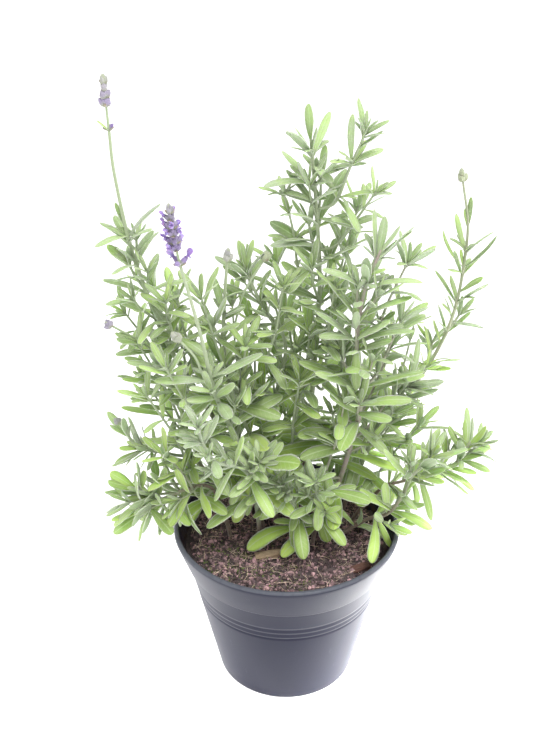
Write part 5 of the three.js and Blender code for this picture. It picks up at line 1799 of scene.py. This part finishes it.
def strand_shape(seed, long, thick, curl):
    """A bent fibre or twig, square in section and thickest in the middle."""
    draw = draws_from(seed)
    points = [Vector((long * (k / 3 - 0.5), curl * between(draw, -1, 1), thick + 0.3 * curl * draw()))
              for k in range(4)]
    line = Line(points, 6, Vector((0, 0, 1)))
    skin = Skin()
    add_tube(skin, line, lambda s: thick * (1 - 0.6 * abs(s / line.length * 2 - 1)), lambda s: (0, 0, 0),
             (0, 0, 0), 0, (0, line.length), sides=4, step=long / 6, square=2)
    piece = skin.write("strand", [])
    for label in ("place", "growth", "cast"):
        piece.data.attributes.remove(piece.data.attributes[label])
    return piece


def moss_shape(seed):
    """A tuft of tiny leaves."""
    draw = draws_from(seed)
    work = bmesh.new()
    for k in range(7):
        angle, lean = 2 * pi * (k + 0.4 * draw()) / 7, between(draw, 0.25, 0.9)
        out = Vector((cos(angle), sin(angle), 0))
        side = out.cross(Vector((0, 0, 1))) * 0.22
        long = between(draw, 0.9, 1.5)
        middle = out * lean * 0.45 * long + Vector((0, 0, 0.6 * long))
        tip = out * lean * long + Vector((0, 0, 0.85 * long))
        corners = [work.verts.new(p * MM) for p in (-side, side, middle + side, middle - side)]
        under = [work.verts.new((p + out * 0.12) * MM) for p in (-side, side, middle + side, middle - side)]
        top = work.verts.new(tip * MM)
        work.faces.new(corners)
        work.faces.new(under[::-1])
        for a, b in ((0, 1), (1, 2), (3, 0)):
            work.faces.new((corners[b], corners[a], under[a], under[b]))
        work.faces.new((corners[3], corners[2], top))
        work.faces.new((under[2], under[3], top))
        work.faces.new((corners[2], under[2], top))
        work.faces.new((under[3], corners[3], top))
    bmesh.ops.recalc_face_normals(work, faces=work.faces)
    return link("moss_tuft", mesh_of(work, "moss_tuft"))


strew_tree = scatter_tree()

# What is strewn on the soil, by piece: what makes its shapes, its finish and its layers. shape: a seed, then
# sizes. where: the attribute of the soil that gives the share. per_area: copies on a square metre. sizes: the
# smallest and the largest copy. tilt: radians. lift: how far it is raised.
LITTER = {
    "soil_crumbs": (crumb_shape, "crumb", [
        dict(shape=(11, 0.8), where="spread", per_area=2.3e5, seed=1, sizes=(0.3, 0.8), tilt=1.5, lift=0.1),
        dict(shape=(12, 0.7), where="spread", per_area=1.2e5, seed=2, sizes=(0.5, 1.2), tilt=1.2, lift=0.2),
        dict(shape=(13, 0.9), where="spread", per_area=3e4, seed=3, sizes=(0.9, 2.0), tilt=0.8, lift=0),
    ]),
    "soil_fibres": (strand_shape, "fibre", [
        dict(shape=(21, 7, 0.11, 0.8), where="open", per_area=5.5e4, seed=4, sizes=(0.4, 1.1), tilt=0.35,
             lift=0.5),
        dict(shape=(22, 10, 0.12, 1.6), where="open", per_area=2.2e4, seed=5, sizes=(0.5, 1.2), tilt=0.25,
             lift=0.7),
        dict(shape=(23, 5, 0.16, 0.3), where="spread", per_area=7e4, seed=6, sizes=(0.4, 1.1), tilt=0.6,
             lift=0.6),
    ]),
    "soil_moss": (moss_shape, "moss", [
        dict(shape=(31,), where="moss", per_area=3.4e5, seed=7, sizes=(0.45, 1.0), tilt=0.5, lift=0.1),
    ]),
}


def strewn(name, bed):
    """One piece of several layers, each a shape strewn over the soil's surface."""
    make_shape, finish, layers = LITTER[name]
    work = bmesh.new()
    for layer in layers:
        shape = make_shape(*layer["shape"])
        smallest, largest = layer["sizes"]
        settings = {"Shape": shape, "Where": layer["where"], "Per Area": layer["per_area"],
                    "Seed": layer["seed"], "Smallest": smallest, "Largest": largest, "Tilt": layer["tilt"],
                    "Lift": layer["lift"] * MM, "Finish": materials[finish]}
        ground = link("strew_ground", bed.data.copy())
        modifier = ground.modifiers.new("strew", "NODES")
        modifier.node_group = strew_tree
        for socket in strew_tree.interface.items_tree:
            if socket.in_out == "INPUT" and socket.name in settings:
                modifier[socket.identifier] = settings[socket.name]
        work.from_mesh(plain_mesh(ground, name))
        bpy.data.objects.remove(ground)
        bpy.data.objects.remove(shape)
    mesh = mesh_of(work, name)
    mesh.materials.append(materials[finish])
    mesh.polygons.foreach_set("use_smooth", [False] * len(mesh.polygons))
    return link(name, mesh)


# ---- chips and clod ----
def chip_piece(name):
    """A splintered chip of wood or a lump of peat in the place of its solid."""
    chip = CHIPS[name]
    long, wide, thick = (d / 2 for d in chip["size"])
    low, high = (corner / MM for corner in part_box(name))
    middle = (low + high) / 2
    along, aside = cos(chip["turn"] * RAD), sin(chip["turn"] * RAD)
    lump = name == "clod"
    work = bmesh.new()
    bmesh.ops.create_icosphere(work, subdivisions=4, radius=1)
    fibre = work.verts.layers.float_vector.new("fibre")
    for vertex in work.verts:
        x, y, z = (copysign(abs(c) ** chip["power"], c) for c in vertex.co)
        rough = noise.fractal(Vector((x * chip["grain"], y * 2.4, z * 2.4)), 0.7, 2, 4)
        ends = 1 if lump else 1 - 0.22 * abs(x) ** 4
        p = Vector((x * long * (1 + 0.1 * rough), y * wide * ends * (1 + 0.28 * rough),
                    z * thick * ends * (1 + 0.3 * rough)))
        vertex[fibre] = (p.x * 0.12, p.y * 1.6, p.z * 1.6)
        turned = Vector((p.x * along - p.y * aside, p.x * aside + p.y * along, p.z))
        vertex.co = (turned * CHIP_SHARE + middle) * MM
    mesh = mesh_of(work, name + "_fine")
    mesh.materials.append(materials[chip["finish"]])
    if lump:
        tone = mesh.attributes.new("tone", "FLOAT", "POINT")
        tone.data.foreach_set("value", [0.5] * len(mesh.vertices))
    piece = link(name + "_fine", mesh)
    smooth_within(piece, 40)
    return piece


# ---- putting it together ----
def keep(piece, slot, *nodes):
    """The piece belongs to the object and stands for these solids, which are hidden; the slot is not used."""
    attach(piece, "root")
    if nodes:
        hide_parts(*nodes)


stems = [planted(index, given) for index, given in enumerate(STEMS)]
for stem in stems:
    for branch in (stem, *stem.shoots.values()):
        room.hold(branch.line.spots(4))
        for leaf in branch.leaves():
            room.hold(samples_of(leaf))
by_name = {stem.plan["name"]: stem for stem in stems}
branches = []
for name, rows in BRANCHES.items():
    for given in rows:
        draw = draws_from(BRANCH_SEED + len(branches))
        youth = 0.35 + 0.5 * given["share"]
        branches.append((add_branch(by_name[name], draw, **given), youth, draw))
for name, leaves in LONG_LEAVES.items():
    draw = draws_from(LONG_SEED + len(leaves))
    for leaf in leaves:
        add_long_leaf(by_name[name], draw(), **leaf)
for branch, youth, draw in branches:
    add_pairs(branch, draw, youth)
for index, stem in enumerate(stems):
    add_growth(stem, index)
for index, stem in enumerate(stems):
    skin = Skin()
    add_stem(skin, stem, draws_from(index)())
    name = stem.plan["name"]
    keep(skin.write(name + "_fine", [materials["leaf"], materials["stem"]]), "foliage", name)

for rank, name in enumerate(HEADS):
    keep(flower_head(name, rank), "flower" if name.startswith("bloom") else "bud", name)

keep(pot_piece(), "pot", "pot")
bed = soil_bed()
keep(bed, "soil", "soil")
for name in LITTER:
    keep(strewn(name, bed), "soil")
for name, slot in (("chip_pale", "pale_wood"), ("chip_bark", "bark"), ("clod", "soil")):
    keep(chip_piece(name), slot, name)


# ---- stage, light and camera ----
FLOOR_SIZE = 12.0
FLOOR_GLOW = 0.22
FLOOR_DROP = 0.3  # how far the floor is under the pot's foot
WHITE = (1, 1, 1)
FLOOR_WHITE = (0.93, 0.93, 0.93)


def stage_floor():
    """A wide pale floor just under the pot."""
    work = bmesh.new()
    bmesh.ops.create_grid(work, x_segments=1, y_segments=1, size=FLOOR_SIZE / 2)
    bmesh.ops.translate(work, verts=work.verts, vec=(0, 0, -FLOOR_DROP * MM))
    mesh = mesh_of(work, "floor")
    material, _, shader = new_material("pale_floor", 0.9)
    shader.inputs["Base Color"].default_value = colour(FLOOR_WHITE)
    shader.inputs["Emission Color"].default_value = colour(WHITE)
    shader.inputs["Emission Strength"].default_value = FLOOR_GLOW
    mesh.materials.append(material)
    link("floor", mesh)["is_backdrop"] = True


def aimed(name, data, place, way):
    """A lamp or camera at a place, in metres, that looks a given way."""
    made = link(name, data)
    made.location = place
    made.rotation_euler = way.to_track_quat("-Z", "Y").to_euler()
    return made


def lamp_of(name, kind, **settings):
    lamp = bpy.data.lights.new(name, kind)
    for key, value in settings.items():
        setattr(lamp, key, value)
    return lamp


def soft_light(name, place, wide, tall, power):
    """A large soft panel that faces the plant."""
    lamp = lamp_of(name, "AREA", shape="RECTANGLE", size=wide, size_y=tall, energy=power)
    aimed(name, lamp, place, AIM * MM - Vector(place))


def low_spot(place, aim, spread, power):
    """A spot on the floor beside the pot, which the pot's side mirrors."""
    lamp = lamp_of("floor_spot", "SPOT", spot_size=spread * RAD, spot_blend=1, shadow_soft_size=0.04,
                   energy=power)
    aimed("floor_spot", lamp, place, aim - place)


def place_camera():
    """The camera, which sees white all round."""
    lens = bpy.data.cameras.new("camera")
    lens.sensor_fit, lens.sensor_height, lens.lens = "VERTICAL", SENSOR, LENS
    bpy.context.scene.camera = aimed("camera", lens, CAMERA * MM, AIM - CAMERA)
    bpy.context.scene.view_settings.view_transform = "Standard"


FRONT_LIGHT = 1.12
BACK_LIGHT = 1.03


def studio_walls():
    """White walls, brighter behind and beside the plant than in front of it."""
    world = bpy.data.worlds.new("studio_walls")
    world.use_nodes = True
    tree = world.node_tree
    way = put(tree, "ShaderNodeSeparateXYZ", {0: put(tree, "ShaderNodeTexCoord").outputs["Generated"]})
    wall = step_up(tree, way.outputs["Y"], -0.9, 0.1, FRONT_LIGHT, BACK_LIGHT)
    by_camera = put(tree, "ShaderNodeLightPath").outputs["Is Camera Ray"]
    strength = maths(tree, "MAXIMUM", wall, by_camera)
    tree.links.new(strength, tree.nodes["Background"].inputs["Strength"])
    tree.nodes["Background"].inputs["Color"].default_value = colour(WHITE)
    bpy.context.scene.world = world


stage_floor()
place_camera()
studio_walls()
soft_light("side_panel", (1.25, 0.05, 0.75), 0.9, 1.1, 5)
soft_light("left_panel", (-1.3, 0.3, 0.75), 1.0, 1.4, 5)
soft_light("top_panel", (0.4, -0.6, 1.7), 0.8, 0.7, 23)
low_spot(Vector((0.45, -0.1, 0.35)), Vector((0.1, 0, 0)), 24, 76)
low_spot(Vector((-0.45, -0.1, 0.35)), Vector((-0.1, 0, 0)), 24, 20)

both = {"cad": cad_box, "visual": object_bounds()}
{label: [list(corner) for corner in box] for label, box in both.items()}
